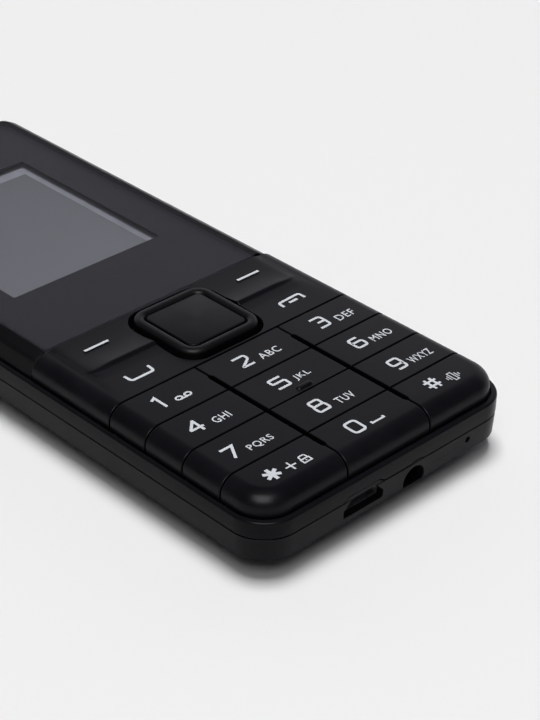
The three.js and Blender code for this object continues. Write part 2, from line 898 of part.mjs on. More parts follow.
function earpieceGasket() {
  const outer = slab(inset(gasketPlan, fitGap), shellPlateBottom, shellPlateTop - seatGap);
  return outer.subtract(slab(earpiecePlan, shellPlateBottom - overrun, shellPlateTop + overrun));
}

function earpieceSpeaker() {
  const outline = centredPlan(earpieceWidth, earpieceLength, earpieceCornerRadius, 0, earpieceY);
  return slab(outline, boardTop + shellSeatGap, shellPlateBottom - seatGap);
}

// Outer form of the back: the housing wall above, the bulge of the cover below.
const backLayers = [
  [bulgeInset, 0],
  ...bulgeMiddleShares.map(([insetShare, heightShare]) => [
    THREE.MathUtils.lerp(bulgeTopInset, bulgeInset, insetShare),
    coverEdgeHeight * heightShare,
  ]).reverse(),
  [bulgeTopInset, coverEdgeHeight],
  [wallFootInset, coverEdgeHeight + wallFootRise],
  [wallMiddleInset, THREE.MathUtils.lerp(coverEdgeHeight, partingHeight, wallMiddleShare)],
  [wallTopInset, housingTop],
];
const backForm = loft(bodyPlan, backLayers);

// Inner form of the back, one cover thickness inside the bulge.
const backRoomLayers = [
  [bulgeInset, coverThickness],
  ...coverInnerShares.map(([insetShare, heightShare]) => [
    bulgeInset * insetShare + coverThickness * (1 - insetShare),
    THREE.MathUtils.lerp(coverThickness, coverEdgeHeight, heightShare),
  ]).reverse(),
  [coverLipInset, coverEdgeHeight],
];

// Outline of the socket opening in X and Z, grown or shrunk all round.
function usbOutline(growth) {
  const half = usbWidth / 2 + growth;
  const chamferShare = Math.tan(Math.PI / 8);
  const topHalf = usbWidth / 2 - usbChamfer + growth * chamferShare;
  const knee = usbTop - usbChamfer + growth * chamferShare;
  return [
    [usbX - half, usbBottom - growth],
    [usbX + half, usbBottom - growth],
    [usbX + half, knee],
    [usbX + topHalf, usbTop + growth],
    [usbX - topHalf, usbTop + growth],
    [usbX - half, knee],
  ];
}

// Rises of the parting line over the ports, as outlines in X and Z.
function partingRises(growth) {
  const foot = housingTop - wallTopInset;
  const usbFootHalf = usbWidth / 2 + usbTabFootMargin + growth;
  const usbHeadHalf = usbWidth / 2 - usbChamfer + usbTabTopMargin + growth;
  const jackFootHalf = jackTabFootHalf + growth;
  const jackHeadHalf = jackTabTopHalf + growth;
  const jackHeadX = jackX + jackTabShift;
  return [
    [
      [usbX - usbFootHalf, foot],
      [usbX + usbFootHalf, foot],
      [usbX + usbHeadHalf, partingHeight + usbTabRise + growth],
      [usbX - usbHeadHalf, partingHeight + usbTabRise + growth],
    ],
    [
      [jackHeadX - jackFootHalf, foot],
      [jackHeadX + jackFootHalf, foot],
      [jackHeadX + jackHeadHalf, partingHeight + jackTabRise + growth],
      [jackHeadX - jackHeadHalf, partingHeight + jackTabRise + growth],
    ],
  ];
}

function rimFrame() {
  const form = loft(bodyPlan, [
    [rimFootChamfer, rimBottom],
    [0, rimBottom + rimFootChamfer],
    [0, ledgeHeight - rimTopFillet],
    [rimTopFillet / 3, ledgeHeight - rimTopFillet / 3],
    [rimTopFillet, ledgeHeight],
  ]);
  const raisedRoom = slab(inset(raisedPlan, -capGap), rimSeatHeight, ledgeHeight + overrun);
  const innerRoom = slab(inset(bodyPlan, rimFlange), rimBottom - overrun, ledgeHeight + overrun);
  const notches = partingRises(partingGap).map((outline) => (
    lengthwisePrism(outline, -bodyHalfLength - overrun, -bodyHalfLength + rimFlange + overrun)
  ));
  return cut(form, [raisedRoom, innerRoom, ...notches]);
}

const simPlans = [-1, 1].map((side) => centredPlan(
  simHolderWidth,
  simHolderLength,
  looseGap,
  side * simHolderX,
  simHolderFront + simHolderLength / 2,
));
const memoryPlan = centredPlan(
  memoryHolderWidth,
  memoryHolderLength,
  looseGap,
  0,
  memoryHolderFront + memoryHolderLength / 2,
);
const canPlans = [-1, 1].map((side) => centredPlan(
  canWidth,
  canLength,
  looseGap,
  side * canX,
  connectorBack - connectorLength - canBackGap - canLength / 2,
));
const connectorPlan = plan(
  -connectorWidth / 2,
  connectorWidth / 2,
  connectorBack - connectorLength,
  connectorBack,
  fitGap,
);

function rearHousing() {
  const front = -bodyHalfLength - overrun;
  const wallCell = block(
    -bodyHalfWidth,
    bodyHalfWidth,
    front,
    bodyHalfLength,
    coverEdgeHeight,
    housingTop + overrun,
  );
  const portCell = block(
    -bodyHalfWidth,
    bodyHalfWidth,
    front,
    portBlockBack,
    -overrun,
    coverEdgeHeight + overrun,
  );
  const outer = backForm.intersect(wallCell.add(portCell));

  const portRoomBack = portBlockBack - partitionThickness;
  const portRoom = loft(bodyPlan, [
    ...backRoomLayers.map(([amount, height]) => [amount, height + portFloorThickness - coverThickness]),
    [housingWall, coverEdgeHeight + partitionThickness],
    [housingWall, housingTop + overrun],
  ]).intersect(block(-bodyHalfWidth, bodyHalfWidth, front, portRoomBack, 0, housingTop + overrun));
  const wallRoom = slab(inset(bodyPlan, housingWall), coverEdgeHeight - overrun, housingTop + overrun)
    .intersect(block(
      -bodyHalfWidth,
      bodyHalfWidth,
      portBlockBack,
      bodyHalfLength,
      0,
      housingTop + overrun,
    ));

  const jackBossBack = -bodyHalfLength + jackFrontRecess - looseGap;
  const jackBoss = barrel(jackX, jackZ, -bodyHalfLength, jackBossBack, jackBossRadius)
    .intersect(backForm);
  const floorPlan = inset(bodyPlan, rimFlange + looseGap);
  floorPlan.front = portRoomBack;
  floorPlan.frontRadius = sharpRadius;
  const floor = slab(floorPlan, housingFloorBottom, housingFloorTop);
  const bayPlan = plan(-bayHalfWidth, bayHalfWidth, bayFront, bayBack, batteryCornerRadius);
  const bayTube = slab(inset(bayPlan, -bayWall), bayWallBottom, housingFloorTop)
    .subtract(slab(bayPlan, bayWallBottom - overrun, housingFloorBottom));
  const tabs = partingRises(0).map((outline) => (
    lengthwisePrism(outline, -bodyHalfLength + wallTopInset, -bodyHalfLength + rimFlange)
  ));

  const body = joined([cut(outer, [portRoom, wallRoom]), jackBoss, floor, bayTube, ...tabs]);
  const openings = [...simPlans, memoryPlan, ...canPlans].map((outline) => (
    slab(inset(outline, -looseGap), housingFloorBottom - overrun, housingFloorTop + overrun)
  ));
  return cut(body, [
    ...openings,
    slab(inset(connectorPlan, -looseGap), bayWallBottom - overrun, housingFloorTop + overrun),
    ...screwHoles(housingFloorBottom - overrun, housingFloorTop + overrun),
    lengthwisePrism(usbOutline(0), front, portRoomBack - overrun),
    barrel(jackX, jackZ, front, -bodyHalfLength + jackFrontRecess + overrun, jackOpeningRadius),
    barrel(
      microphoneX,
      microphoneZ,
      front,
      -bodyHalfLength + housingWall + overrun,
      microphoneHoleRadius,
      smallRoundSides,
    ),
  ]);
}

function batteryCover() {
  const cell = block(
    -bodyHalfWidth,
    bodyHalfWidth,
    portBlockBack + coverGap,
    bodyHalfLength + overrun,
    -overrun,
    coverTop,
  );
  const roomPlan = { ...bodyPlan, front: bodyPlan.front - portBlockLength };
  const room = loft(roomPlan, [...backRoomLayers, [coverLipInset, coverEdgeHeight + overrun]]);
  const slots = Array.from({ length: speakerSlotCount }, (_, index) => {
    const y = speakerY + (index - (speakerSlotCount - 1) / 2) * speakerSlotPitch;
    return slab(
      centredPlan(speakerSlotLength, speakerSlotWidth, speakerSlotWidth / 2, speakerX, y),
      -overrun,
      coverThickness + overrun,
    );
  });
  return cut(backForm.intersect(cell), [room, ...slots]);
}

function battery() {
  const y = batteryFront + batteryLength / 2;
  const outline = centredPlan(batteryWidth, batteryLength, batteryCornerRadius, 0, y);
  return loft(outline, [
    [batteryEdge, batteryBottom],
    [0, batteryBottom + batteryEdge],
    [0, batteryTop - batteryEdge],
    [batteryEdge, batteryTop],
  ]);
}

function batteryConnector() {
  return slab(connectorPlan, connectorBottom, boardBottom - seatGap);
}

// Card holder: a shallow case on the board with a slot that is open towards the ports.
function cardHolder(outline) {
  const bottom = housingFloorBottom;
  const top = boardBottom - seatGap;
  const middle = (bottom + top) / 2;
  const slot = block(
    outline.left + cardSlotWall,
    outline.right - cardSlotWall,
    outline.front - overrun,
    outline.back - cardSlotWall,
    middle - cardSlotHeight / 2,
    middle + cardSlotHeight / 2,
  );
  return slab(outline, bottom, top).subtract(slot);
}

function shieldCan(outline) {
  const top = boardBottom - seatGap;
  const room = slab(inset(outline, canWall), top - canHeight + canWall, top + overrun);
  return slab(outline, top - canHeight, top).subtract(room);
}

const usbFront = -bodyHalfLength + usbFrontRecess;

function usbSocket() {
  const shell = lengthwisePrism(usbOutline(-fitGap), usbFront, usbFront + usbDepth);
  const room = lengthwisePrism(
    usbOutline(-fitGap - usbShellWall),
    usbFront - overrun,
    usbFront + usbDepth - usbBackWall,
  );
  const legX = usbWidth / 2 - usbChamfer - usbLegWidth;
  const legBack = usbFront + usbDepth;
  const legs = [-1, 1].map((side) => block(
    usbX + side * legX - usbLegWidth / 2,
    usbX + side * legX + usbLegWidth / 2,
    legBack - usbLegLength,
    legBack,
    usbTop - fitGap - usbShellWall / 2,
    boardBottom - seatGap,
  ));
  return joined([shell.subtract(room), ...legs]);
}

function usbTongue() {
  return block(
    usbX - tongueWidth / 2,
    usbX + tongueWidth / 2,
    usbFront + tongueRecess,
    usbFront + usbDepth - usbBackWall - seatGap,
    tongueHeight - tongueThickness / 2,
    tongueHeight + tongueThickness / 2,
  );
}

function audioJack() {
  const front = -bodyHalfLength + jackFrontRecess;
  const back = portBlockBack - partitionThickness - looseGap;
  const body = block(jackX - jackWidth / 2, jackX + jackWidth / 2, front, back, jackBottom, jackTop);
  return body.subtract(barrel(jackX, jackZ, front - overrun, back - jackBackWall, jackBoreRadius));
}

const bootFront = -bodyHalfLength + housingWall + bootRecess;

function microphoneBoot() {
  const bootBack = bootFront + bootLength;
  const boot = barrel(microphoneX, microphoneZ, bootFront, bootBack, bootRadius);
  const room = barrel(
    microphoneX,
    microphoneZ,
    bootBack - microphoneLength,
    bootBack + overrun,
    microphoneRadius + fitGap,
  );
  const port = barrel(
    microphoneX,
    microphoneZ,
    bootFront - overrun,
    bootBack,
    microphoneHoleRadius,
    smallRoundSides,
  );
  return cut(boot, [room, port]);
}

function microphone() {
  const back = bootFront + bootLength;
  return barrel(
    microphoneX,
    microphoneZ,
    back - microphoneLength + seatGap,
    back,
    microphoneRadius,
    smallRoundSides,
  );
}

function loudspeaker() {
  const top = housingFloorBottom - seatGap;
  const bottom = coverThickness + seatGap;
  const can = post(speakerX, speakerY, bottom + speakerRimStep, top, speakerRadius);
  return can.add(post(speakerX, speakerY, bottom, top, speakerRadius - speakerRimMargin));
}

function vibrationMotor() {
  const can = axle(motorY, motorZ, motorX, motorX + motorLength, motorRadius);
  return can.subtract(axle(
    motorY,
    motorZ,
    motorX - overrun,
    motorX + motorBoreDepth,
    motorBoreRadius,
    smallRoundSides,
  ));
}

function motorWeight() {
  const right = motorX - weightGap;
  const left = right - weightLength;
  const disc = axle(motorY, motorZ, left, right, weightRadius);
  const lowerHalf = block(
    left - overrun,
    right + overrun,
    motorY - weightRadius - overrun,
    motorY + weightRadius + overrun,
    motorZ - weightRadius - overrun,
    motorZ,
  );
  const hub = axle(motorY, motorZ, left, right, shaftRadius * 2, smallRoundSides);
  const shaft = axle(motorY, motorZ, left, motorX + shaftDepth, shaftRadius, smallRoundSides);
  return joined([disc.intersect(lowerHalf), hub, shaft]);
}

function antenna() {
  const back = bodyHalfLength - housingWall - antennaEndGap;
  const front = back - antennaLength;
  const top = housingFloorBottom - seatGap;
  const bottom = coverEdgeHeight + looseGap;
  const bar = block(-antennaWidth / 2, antennaWidth / 2, front, back, bottom, top);
  const notches = [-1, 0, 1].map((place) => {
    const x = place * antennaWidth / 4;
    return block(
      x - antennaNotchWidth / 2,
      x + antennaNotchWidth / 2,
      front - overrun,
      front + antennaNotchDepth,
      bottom - overrun,
      top + overrun,
    );
  });
  return cut(bar, notches);
}

function screw(x, y) {
  const headTop = housingFloorBottom - seatGap;
  const headBottom = headTop - screwHeadHeight;
  const head = post(x, y, headBottom, headTop, screwHeadRadius);
  const socketTop = headBottom + screwSocketDepth;
  const shank = post(
    x,
    y,
    socketTop,
    chassisTop - seatGap,
    screwShankRadius,
    screwShankRadius,
    smallRoundSides,
  );
  const socket = post(
    x,
    y,
    headBottom - overrun,
    socketTop,
    screwSocketRadius,
    screwSocketRadius,
    socketSides,
  );
  return head.add(shank).subtract(socket);
}

// Finishes.
function finish(color, roughness, metalness = 0, extra = {}) {
  return new THREE.MeshStandardMaterial({ color, roughness, metalness, ...extra });
}

const satinCap = finish(0x26262a, 0.46);
const satinShell = finish(0x1c1c1f, 0.42);
const glossRim = finish(0x222224, 0.24);
const housingPlastic = finish(0x1a1a1c, 0.5);
const clearLens = finish(0x2c2c30, 0.12, 0, { transparent: true, opacity: 0.35 });
const blackPrint = finish(0x2a2a2e, 0.4);
const displayGlass = finish(0x5c6068, 0.2);
const moduleFrameWhite = finish(0xd4d4cf, 0.6);
const flexAmber = finish(0x9a6a1f, 0.4);
const siliconeGrey = finish(0x4a4a4e, 0.8);
const siliconeDark = finish(0x141416, 0.85);
const domeFilm = finish(0xc9c4b4, 0.35, 0.3);
const stampedSteel = finish(0xa9abae, 0.35, 0.9);
const boardGreen = finish(0x1f5a38, 0.5);
const connectorBlack = finish(0x101012, 0.55);
const tinPlate = finish(0xc2c4c6, 0.3, 0.95);
const batteryWrap = finish(0x8f9398, 0.5, 0.2);
const screwSteel = finish(0x3a3a3d, 0.35, 0.9);
const tungsten = finish(0x77787a, 0.4, 0.9);
const copperStrip = finish(0xb0743a, 0.35, 0.9);

const phone = new THREE.Group();

function place(name, solid, material) {
  const mesh = new THREE.Mesh(geometryOf(solid), material);
  mesh.name = name;
  phone.add(mesh);
}

place('front_shell', frontShell(), satinShell);
place('rim_frame', rimFrame(), glossRim);
place('rear_housing', rearHousing(), housingPlastic);
place('battery_cover', batteryCover(), housingPlastic);
place('display_lens', displayLens(), clearLens);
place('lens_border', lensBorder(), blackPrint);
place('lcd_glass', slab(glassPlan, glassBottom, glassTop), displayGlass);
place('lcd_module', lcdModule(), moduleFrameWhite);
place('lcd_flex', lcdFlex(), flexAmber);
place('earpiece_mesh', earpieceMesh(), stampedSteel);
place('earpiece_gasket', earpieceGasket(), siliconeDark);
place('earpiece_speaker', earpieceSpeaker(), connectorBlack);

const keyNames = [
  ['key_1', 'key_2', 'key_3'],
  ['key_4', 'key_5', 'key_6'],
  ['key_7', 'key_8', 'key_9'],
  ['key_star', 'key_0', 'key_hash'],
];
keyNames.forEach((names, row) => names.forEach((name, column) => {
  const bars = name === 'key_5' ? [tactileBar()] : [];
  place(name, numberKey(row, column, bars), satinCap);
}));

place('function_panel', functionPanel(), satinCap);
place('function_carrier', functionCarrier(), siliconeDark);
place('nav_ring', navRing(), satinCap);
place('nav_pad', navPad(), siliconeDark);
place('select_key', selectKey(), satinCap);
place('keypad_mat', keypadMat(), siliconeGrey);
place('keypad_chassis', keypadChassis(), stampedSteel);
place('dome_sheet', domeSheet(), domeFilm);
place('main_board', mainBoard(), boardGreen);
place('usb_socket', usbSocket(), tinPlate);
place('usb_tongue', usbTongue(), connectorBlack);
place('audio_jack', audioJack(), connectorBlack);
place('mic_boot', microphoneBoot(), siliconeDark);
place('microphone', microphone(), tinPlate);
place('battery', battery(), batteryWrap);
place('battery_connector', batteryConnector(), connectorBlack);
place('sim_holder_1', cardHolder(simPlans[0]), tinPlate);
place('sim_holder_2', cardHolder(simPlans[1]), tinPlate);
place('memory_card_holder', cardHolder(memoryPlan), tinPlate);
place('shield_can_processor', shieldCan(canPlans[0]), tinPlate);
place('shield_can_radio', shieldCan(canPlans[1]), tinPlate);
place('loudspeaker', loudspeaker(), connectorBlack);
place('vibration_motor', vibrationMotor(), tinPlate);
place('motor_weight', motorWeight(), tungsten);
place('antenna', antenna(), copperStrip);

screwPlaces.forEach((y, index) => [-screwX, screwX].forEach((x, side) => {
  place(`screw_${index * 2 + side + 1}`, screw(x, y), screwSteel);
}));

export default phone;
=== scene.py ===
"""Looks of the keypad mobile phone: fine surfaces, finishes, printed legends, stage and light.

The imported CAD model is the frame, and places come from its nodes. Lengths here are in
millimetres and turn into metres where a mesh becomes a piece.
"""

import logging
import math
from dataclasses import dataclass, replace
from enum import Enum

import bmesh
import bpy
from mathutils import Matrix, Vector


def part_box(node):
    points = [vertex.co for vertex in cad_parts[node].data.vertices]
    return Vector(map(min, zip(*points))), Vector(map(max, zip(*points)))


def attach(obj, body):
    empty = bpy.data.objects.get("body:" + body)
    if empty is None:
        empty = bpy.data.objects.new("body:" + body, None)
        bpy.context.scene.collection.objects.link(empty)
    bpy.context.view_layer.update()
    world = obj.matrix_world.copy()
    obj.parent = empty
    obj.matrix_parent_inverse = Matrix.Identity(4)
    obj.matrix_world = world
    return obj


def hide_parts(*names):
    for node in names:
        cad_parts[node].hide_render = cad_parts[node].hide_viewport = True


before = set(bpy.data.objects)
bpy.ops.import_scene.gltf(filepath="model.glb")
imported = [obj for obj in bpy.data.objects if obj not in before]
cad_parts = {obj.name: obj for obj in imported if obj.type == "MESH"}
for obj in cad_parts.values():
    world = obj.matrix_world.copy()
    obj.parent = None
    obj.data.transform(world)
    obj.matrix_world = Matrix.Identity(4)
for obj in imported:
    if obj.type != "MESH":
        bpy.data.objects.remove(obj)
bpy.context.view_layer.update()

LOG = logging.getLogger("phone")

MM = 0.001
OVERRUN = 1.0
SHARP_RADIUS = 0.05
WELD = 0.002
BODY = "phone_body"
SCREWS = range(1, 7)
DISPLAY_SCREWS = range(3, 7)
SCREW_HOLE_RADIUS = 0.9
WAVE_FACTOR = 20
PATCH_SPAN = (0.3, 0.7)

Point = tuple[float, float]
Triple = tuple[float, float, float]
Shade = tuple[int, int, int]
Layers = list[Point]
Socket = bpy.types.NodeSocket


class Join(Enum):
    """How two solids combine."""

    ADD = "UNION"
    CUT = "DIFFERENCE"
    KEEP = "INTERSECT"


class Run(Enum):
    """Direction in which a prism runs."""

    ACROSS = "x"
    ALONG = "y"
    UP = "z"


@dataclass(frozen=True)
class Extent:
    """Box of a CAD node at rest."""

    left: float
    right: float
    front: float
    back: float
    bottom: float
    top: float

    @classmethod
    def of(cls, node: str) -> "Extent":
        """Box of the named node, in millimetres."""
        low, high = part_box(node)
        return cls(low.x / MM, high.x / MM, low.y / MM, high.y / MM, low.z / MM, high.z / MM)

    @property
    def middle(self) -> Point:
        """Middle of the box in plan."""
        return (self.left + self.right) / 2, (self.front + self.back) / 2

    @property
    def tall(self) -> "Extent":
        """The box grown past both its ends in height."""
        return replace(self, bottom=self.bottom - OVERRUN, top=self.top + OVERRUN)

    def outline(self, front_radius: float, back_radius: float) -> "Outline":
        """The box in plan, with rounded corners."""
        return Outline(self.left, self.right, self.front, self.back, front_radius, back_radius)


@dataclass(frozen=True)
class Outline:
    """Rectangle with rounded corners, whose front pair and back pair have a radius each."""

    left: float
    right: float
    front: float
    back: float
    front_radius: float
    back_radius: float
    steps: int = 14

    @classmethod
    def around(cls, middle: Point, width: float, length: float, radius: float) -> "Outline":
        """Outline of a width and a length about a middle, with equal corners."""
        x, y = middle
        return cls(x - width / 2, x + width / 2, y - length / 2, y + length / 2, radius, radius)

    def inset(self, amount: float) -> "Outline":
        """The outline moved inwards all round, or outwards for a negative amount."""
        return replace(
            self,
            left=self.left + amount,
            right=self.right - amount,
            front=self.front + amount,
            back=self.back - amount,
            front_radius=max(self.front_radius - amount, SHARP_RADIUS),
            back_radius=max(self.back_radius - amount, SHARP_RADIUS),
        )

    def ring(self, height: float) -> list[Vector]:
        """Points round the outline at a height, counter-clockwise from above."""
        front, back = self.front_radius, self.back_radius
        corners = (
            (self.right - back, self.back - back, back),
            (self.left + back, self.back - back, back),
            (self.left + front, self.front + front, front),
            (self.right - front, self.front + front, front),
        )
        points = []
        for quarter, (x, y, radius) in enumerate(corners):
            for step in range(self.steps + 1):
                angle = (quarter + step / self.steps) * math.pi / 2
                points.append(Vector((x + radius * math.cos(angle), y + radius * math.sin(angle), height)))
        return points


def eased(points: list[Point], radius: float, closed: bool = False, steps: int = 6) -> list[Point]:
    """Rounds the bends of a path.

    Args:
        points: The path's points.
        radius: How far from a bend its curve starts, limited to half of each leg.
        closed: Whether the last point joins the first.
        steps: Steps in each curve.

    Returns:
        The points of the rounded path.
    """
    count = len(points)
    result: list[Point] = []
    for index, point in enumerate(points):
        if not closed and index in (0, count - 1):
            result.append(point)
            continue
        bend = Vector(point)
        before = Vector(points[index - 1]) - bend
        after = Vector(points[(index + 1) % count]) - bend
        reach = min(radius, before.length / 2, after.length / 2)
        start = bend + before.normalized() * reach
        end = bend + after.normalized() * reach
        for step in range(steps + 1):
            share = step / steps
            curved = start * (1 - share) ** 2 + bend * (2 * share * (1 - share)) + end * share**2
            result.append((curved.x, curved.y))
    return result


def smooth(share: float) -> float:
    """A share from 0 to 1 with level ends."""
    share = min(max(share, 0.0), 1.0)
    return share * share * (3 - 2 * share)


def shoulder(radius: float, top: float, steps: int = 12) -> Layers:
    """Layers of a quarter round from a vertical wall to a flat top, as inset and height."""
    angles = [step / steps * math.pi / 2 for step in range(steps + 1)]
    return [(radius * (1 - math.cos(angle)), top - radius * (1 - math.sin(angle))) for angle in angles]


class Solid:
    """A closed body in millimetres, which is cut and joined before it becomes a piece."""

    def __init__(self, mesh: bpy.types.Mesh) -> None:
        """Wraps a closed mesh."""
        self.mesh = mesh

    @classmethod
    def skin(cls, rings: list[list[Vector]]) -> "Solid":
        """Closed body through rings of equally many points, with flat ends.

        Args:
            rings: The rings from one end to the other.

        Returns:
            The solid, with its faces turned outwards.
        """
        count = len(rings[0])
        faces = [tuple(reversed(range(count)))]
        for level in range(len(rings) - 1):
            low = level * count
            high = low + count
            for index in range(count):
                after = (index + 1) % count
                faces.append((low + index, low + after, high + after, high + index))
        last = (len(rings) - 1) * count
        faces.append(tuple(range(last, last + count)))
        mesh = bpy.data.meshes.new("solid")
        mesh.from_pydata([point for ring in rings for point in ring], [], faces)
        shape = bmesh.new()
        shape.from_mesh(mesh)
        bmesh.ops.recalc_face_normals(shape, faces=shape.faces)
        shape.to_mesh(mesh)
        shape.free()
        return cls(mesh)

    @classmethod
    def loft(cls, outline: Outline, layers: Layers) -> "Solid":
        """Body through insets of one outline, each layer an inset and a height."""
        return cls.skin([outline.inset(amount).ring(height) for amount, height in layers])

    @classmethod
    def slab(cls, outline: Outline, bottom: float, top: float) -> "Solid":
        """Plate of one outline between two heights."""
        return cls.loft(outline, [(0, bottom), (0, top)])

    @classmethod
    def prism(cls, section: list[Point], start: float, end: float, run: Run = Run.UP) -> "Solid":
        """Body that repeats one section.

        Args:
            section: The section's points: X and Y, X and Z, or Y and Z, by the run.
            start: Where the body starts on the run's axis.
            end: Where it ends.
            run: The axis that it runs along.

        Returns:
            The solid.
        """
        places = {
            Run.UP: lambda a, b, way: Vector((a, b, way)),
            Run.ALONG: lambda a, b, way: Vector((a, way, b)),
            Run.ACROSS: lambda a, b, way: Vector((way, a, b)),
        }
        return cls.skin([[places[run](a, b, way) for a, b in section] for way in (start, end)])

    @classmethod
    def block(cls, extent: Extent) -> "Solid":
        """Rectangular body, used as a cell or a cutter."""
        corners = [
            (extent.left, extent.front),
            (extent.right, extent.front),
            (extent.right, extent.back),
            (extent.left, extent.back),
        ]
        return cls.prism(corners, extent.bottom, extent.top)

    @classmethod
    def round_bar(
        cls, middle: Point, radius: float, start: float, end: float, run: Run, sides: int = 48
    ) -> "Solid":
        """Round body along an axis, about a middle in the plane across it."""
        angles = [side / sides * math.tau for side in range(sides)]
        section = [(middle[0] + radius * math.cos(a), middle[1] + radius * math.sin(a)) for a in angles]
        return cls.prism(section, start, end, run)

    def combined(self, others: list["Solid"], how: Join) -> "Solid":
        """This solid joined with, cut by or kept within others.

        Args:
            others: The other solids, taken one after another.
            how: What is done with each.

        Returns:
            The new solid.
        """
        mesh = self.mesh
        for other in others:
            base = bpy.data.objects.new("base", mesh)
            tool = bpy.data.objects.new("tool", other.mesh)
            for each in (base, tool):
                bpy.context.scene.collection.objects.link(each)
            modifier = base.modifiers.new("combine", "BOOLEAN")
            modifier.operation = how.value
            modifier.solver = "EXACT"
            modifier.object = tool
            graph = bpy.context.evaluated_depsgraph_get()
            mesh = bpy.data.meshes.new_from_object(base.evaluated_get(graph))
            for each in (base, tool):
                bpy.data.objects.remove(each)
        return Solid(mesh)

    def add(self, *others: "Solid") -> "Solid":
        """This solid joined with others."""
        return self.combined(list(others), Join.ADD)

    def cut(self, *others: "Solid") -> "Solid":
        """This solid without others."""
        return self.combined(list(others), Join.CUT)

    def keep(self, *others: "Solid") -> "Solid":
        """What this solid shares with others."""
        return self.combined(list(others), Join.KEEP)


def screw_bars(numbers: range, radius: float, bottom: float, top: float) -> list[Solid]:
    """Round bodies about the numbered screws, for bosses or holes."""
    places = [Extent.of(f"screw_{number}").middle for number in numbers]
    return [Solid.round_bar(place, radius, bottom, top, Run.UP) for place in places]


class Nodes:
    """A node tree, with short calls to add and link its nodes."""

    def __init__(self, tree: bpy.types.NodeTree) -> None:
        """Empties the tree."""
        self.tree = tree
        tree.nodes.clear()

    def add(self, kind: str, **inputs: object) -> bpy.types.Node:
        """New node of a kind, with values or links for its inputs."""
        node = self.tree.nodes.new(kind)
        for name, value in inputs.items():
            self.feed(node, name.replace("_", " "), value)
        return node

    def feed(self, node: bpy.types.Node, name: str | int, value: object) -> None:
        """Sets or links one input of a node."""
        if isinstance(value, Socket):
            self.tree.links.new(value, node.inputs[name])
        else:
            node.inputs[name].default_value = value

    def math(self, operation: str, first: object, second: object) -> Socket:
        """Result of an operation on two values or links."""
        node = self.add("ShaderNodeMath")
        node.operation = operation
        self.feed(node, 0, first)
        self.feed(node, 1, second)
        return node.outputs[0]

    def between(
        self, driver: Socket, values: Point, span: Point = PATCH_SPAN, ease: str = "LINEAR"
    ) -> Socket:
        """A driver's values over a span, spread from the first value to the second."""
        spread = self.add("ShaderNodeMapRange", Value=driver)
        for name, value in zip(("From Min", "From Max", "To Min", "To Max"), (*span, *values)):
            self.feed(spread, name, value)
        spread.interpolation_type = ease
        return spread.outputs[0]


class Shader(Nodes):
    """A material's nodes."""

    def __init__(self, name: str) -> None:
        """Starts an empty material with its output."""
        self.made = bpy.data.materials.new(name)
        self.made.use_nodes = True
        super().__init__(self.made.node_tree)
        self.output = self.add("ShaderNodeOutputMaterial")
        self.place = self.add("ShaderNodeTexCoord").outputs["Object"]

    def noise(self, size: float, detail: float = 2.0, stretch: Triple = (1, 1, 1)) -> Socket:
        """Noise of a feature size in millimetres, which may be stretched along an axis."""
        mapping = self.add("ShaderNodeMapping", Vector=self.place, Scale=stretch)
        scale = 1 / (size * MM)
        noise = self.add("ShaderNodeTexNoise", Vector=mapping.outputs[0], Scale=scale, Detail=detail)
        return noise.outputs["Fac"]

    def wave(self, pitch: float, way: str = "X") -> Socket:
        """Bands of a pitch in millimetres across an axis."""
        bands = self.add("ShaderNodeTexWave", Vector=self.place, Scale=1 / (pitch * MM) / WAVE_FACTOR)
        bands.bands_direction = way
        return bands.outputs["Fac"]

    def tones(self, driver: Socket, colours: list[tuple[float, Triple]]) -> Socket:
        """Colours along a driver, each with its place from 0 to 1."""
        ramp = self.add("ShaderNodeValToRGB", Fac=driver)
        elements = ramp.color_ramp.elements
        for index, (place, colour) in enumerate(colours):
            element = elements[index] if index < len(elements) else elements.new(place)
            element.position = place
            element.color = (*colour, 1)
        return ramp.outputs["Color"]

    def bump(self, height: Socket, depth: float) -> Socket:
        """Normal of a height field with a depth in millimetres."""
        return self.add("ShaderNodeBump", Height=height, Distance=depth * MM, Strength=1.0).outputs["Normal"]

    def finish(self, surface: bpy.types.Node) -> bpy.types.Material:
        """Links the surface to the output and returns the material."""
        self.feed(self.output, "Surface", surface.outputs[0])
        return self.made


def linear(colour: Shade, gain: float = 1.0) -> Triple:
    """Display colour of 0 to 255 as linear light by the sRGB curve, times a gain."""
    shares = [value / 255 for value in colour]
    return tuple(gain * (s / 12.92 if s <= 0.04045 else ((s + 0.055) / 1.055) ** 2.4) for s in shares)


@dataclass(frozen=True)
class Surface:
    """A named surface, whose material is made once."""

    name: str

    def material(self) -> bpy.types.Material:
        """The surface's material."""
        return bpy.data.materials.get(self.name) or self.build(Shader(self.name))

    def build(self, shader: Shader) -> bpy.types.Material:
        """Fills the material's nodes."""
        raise NotImplementedError


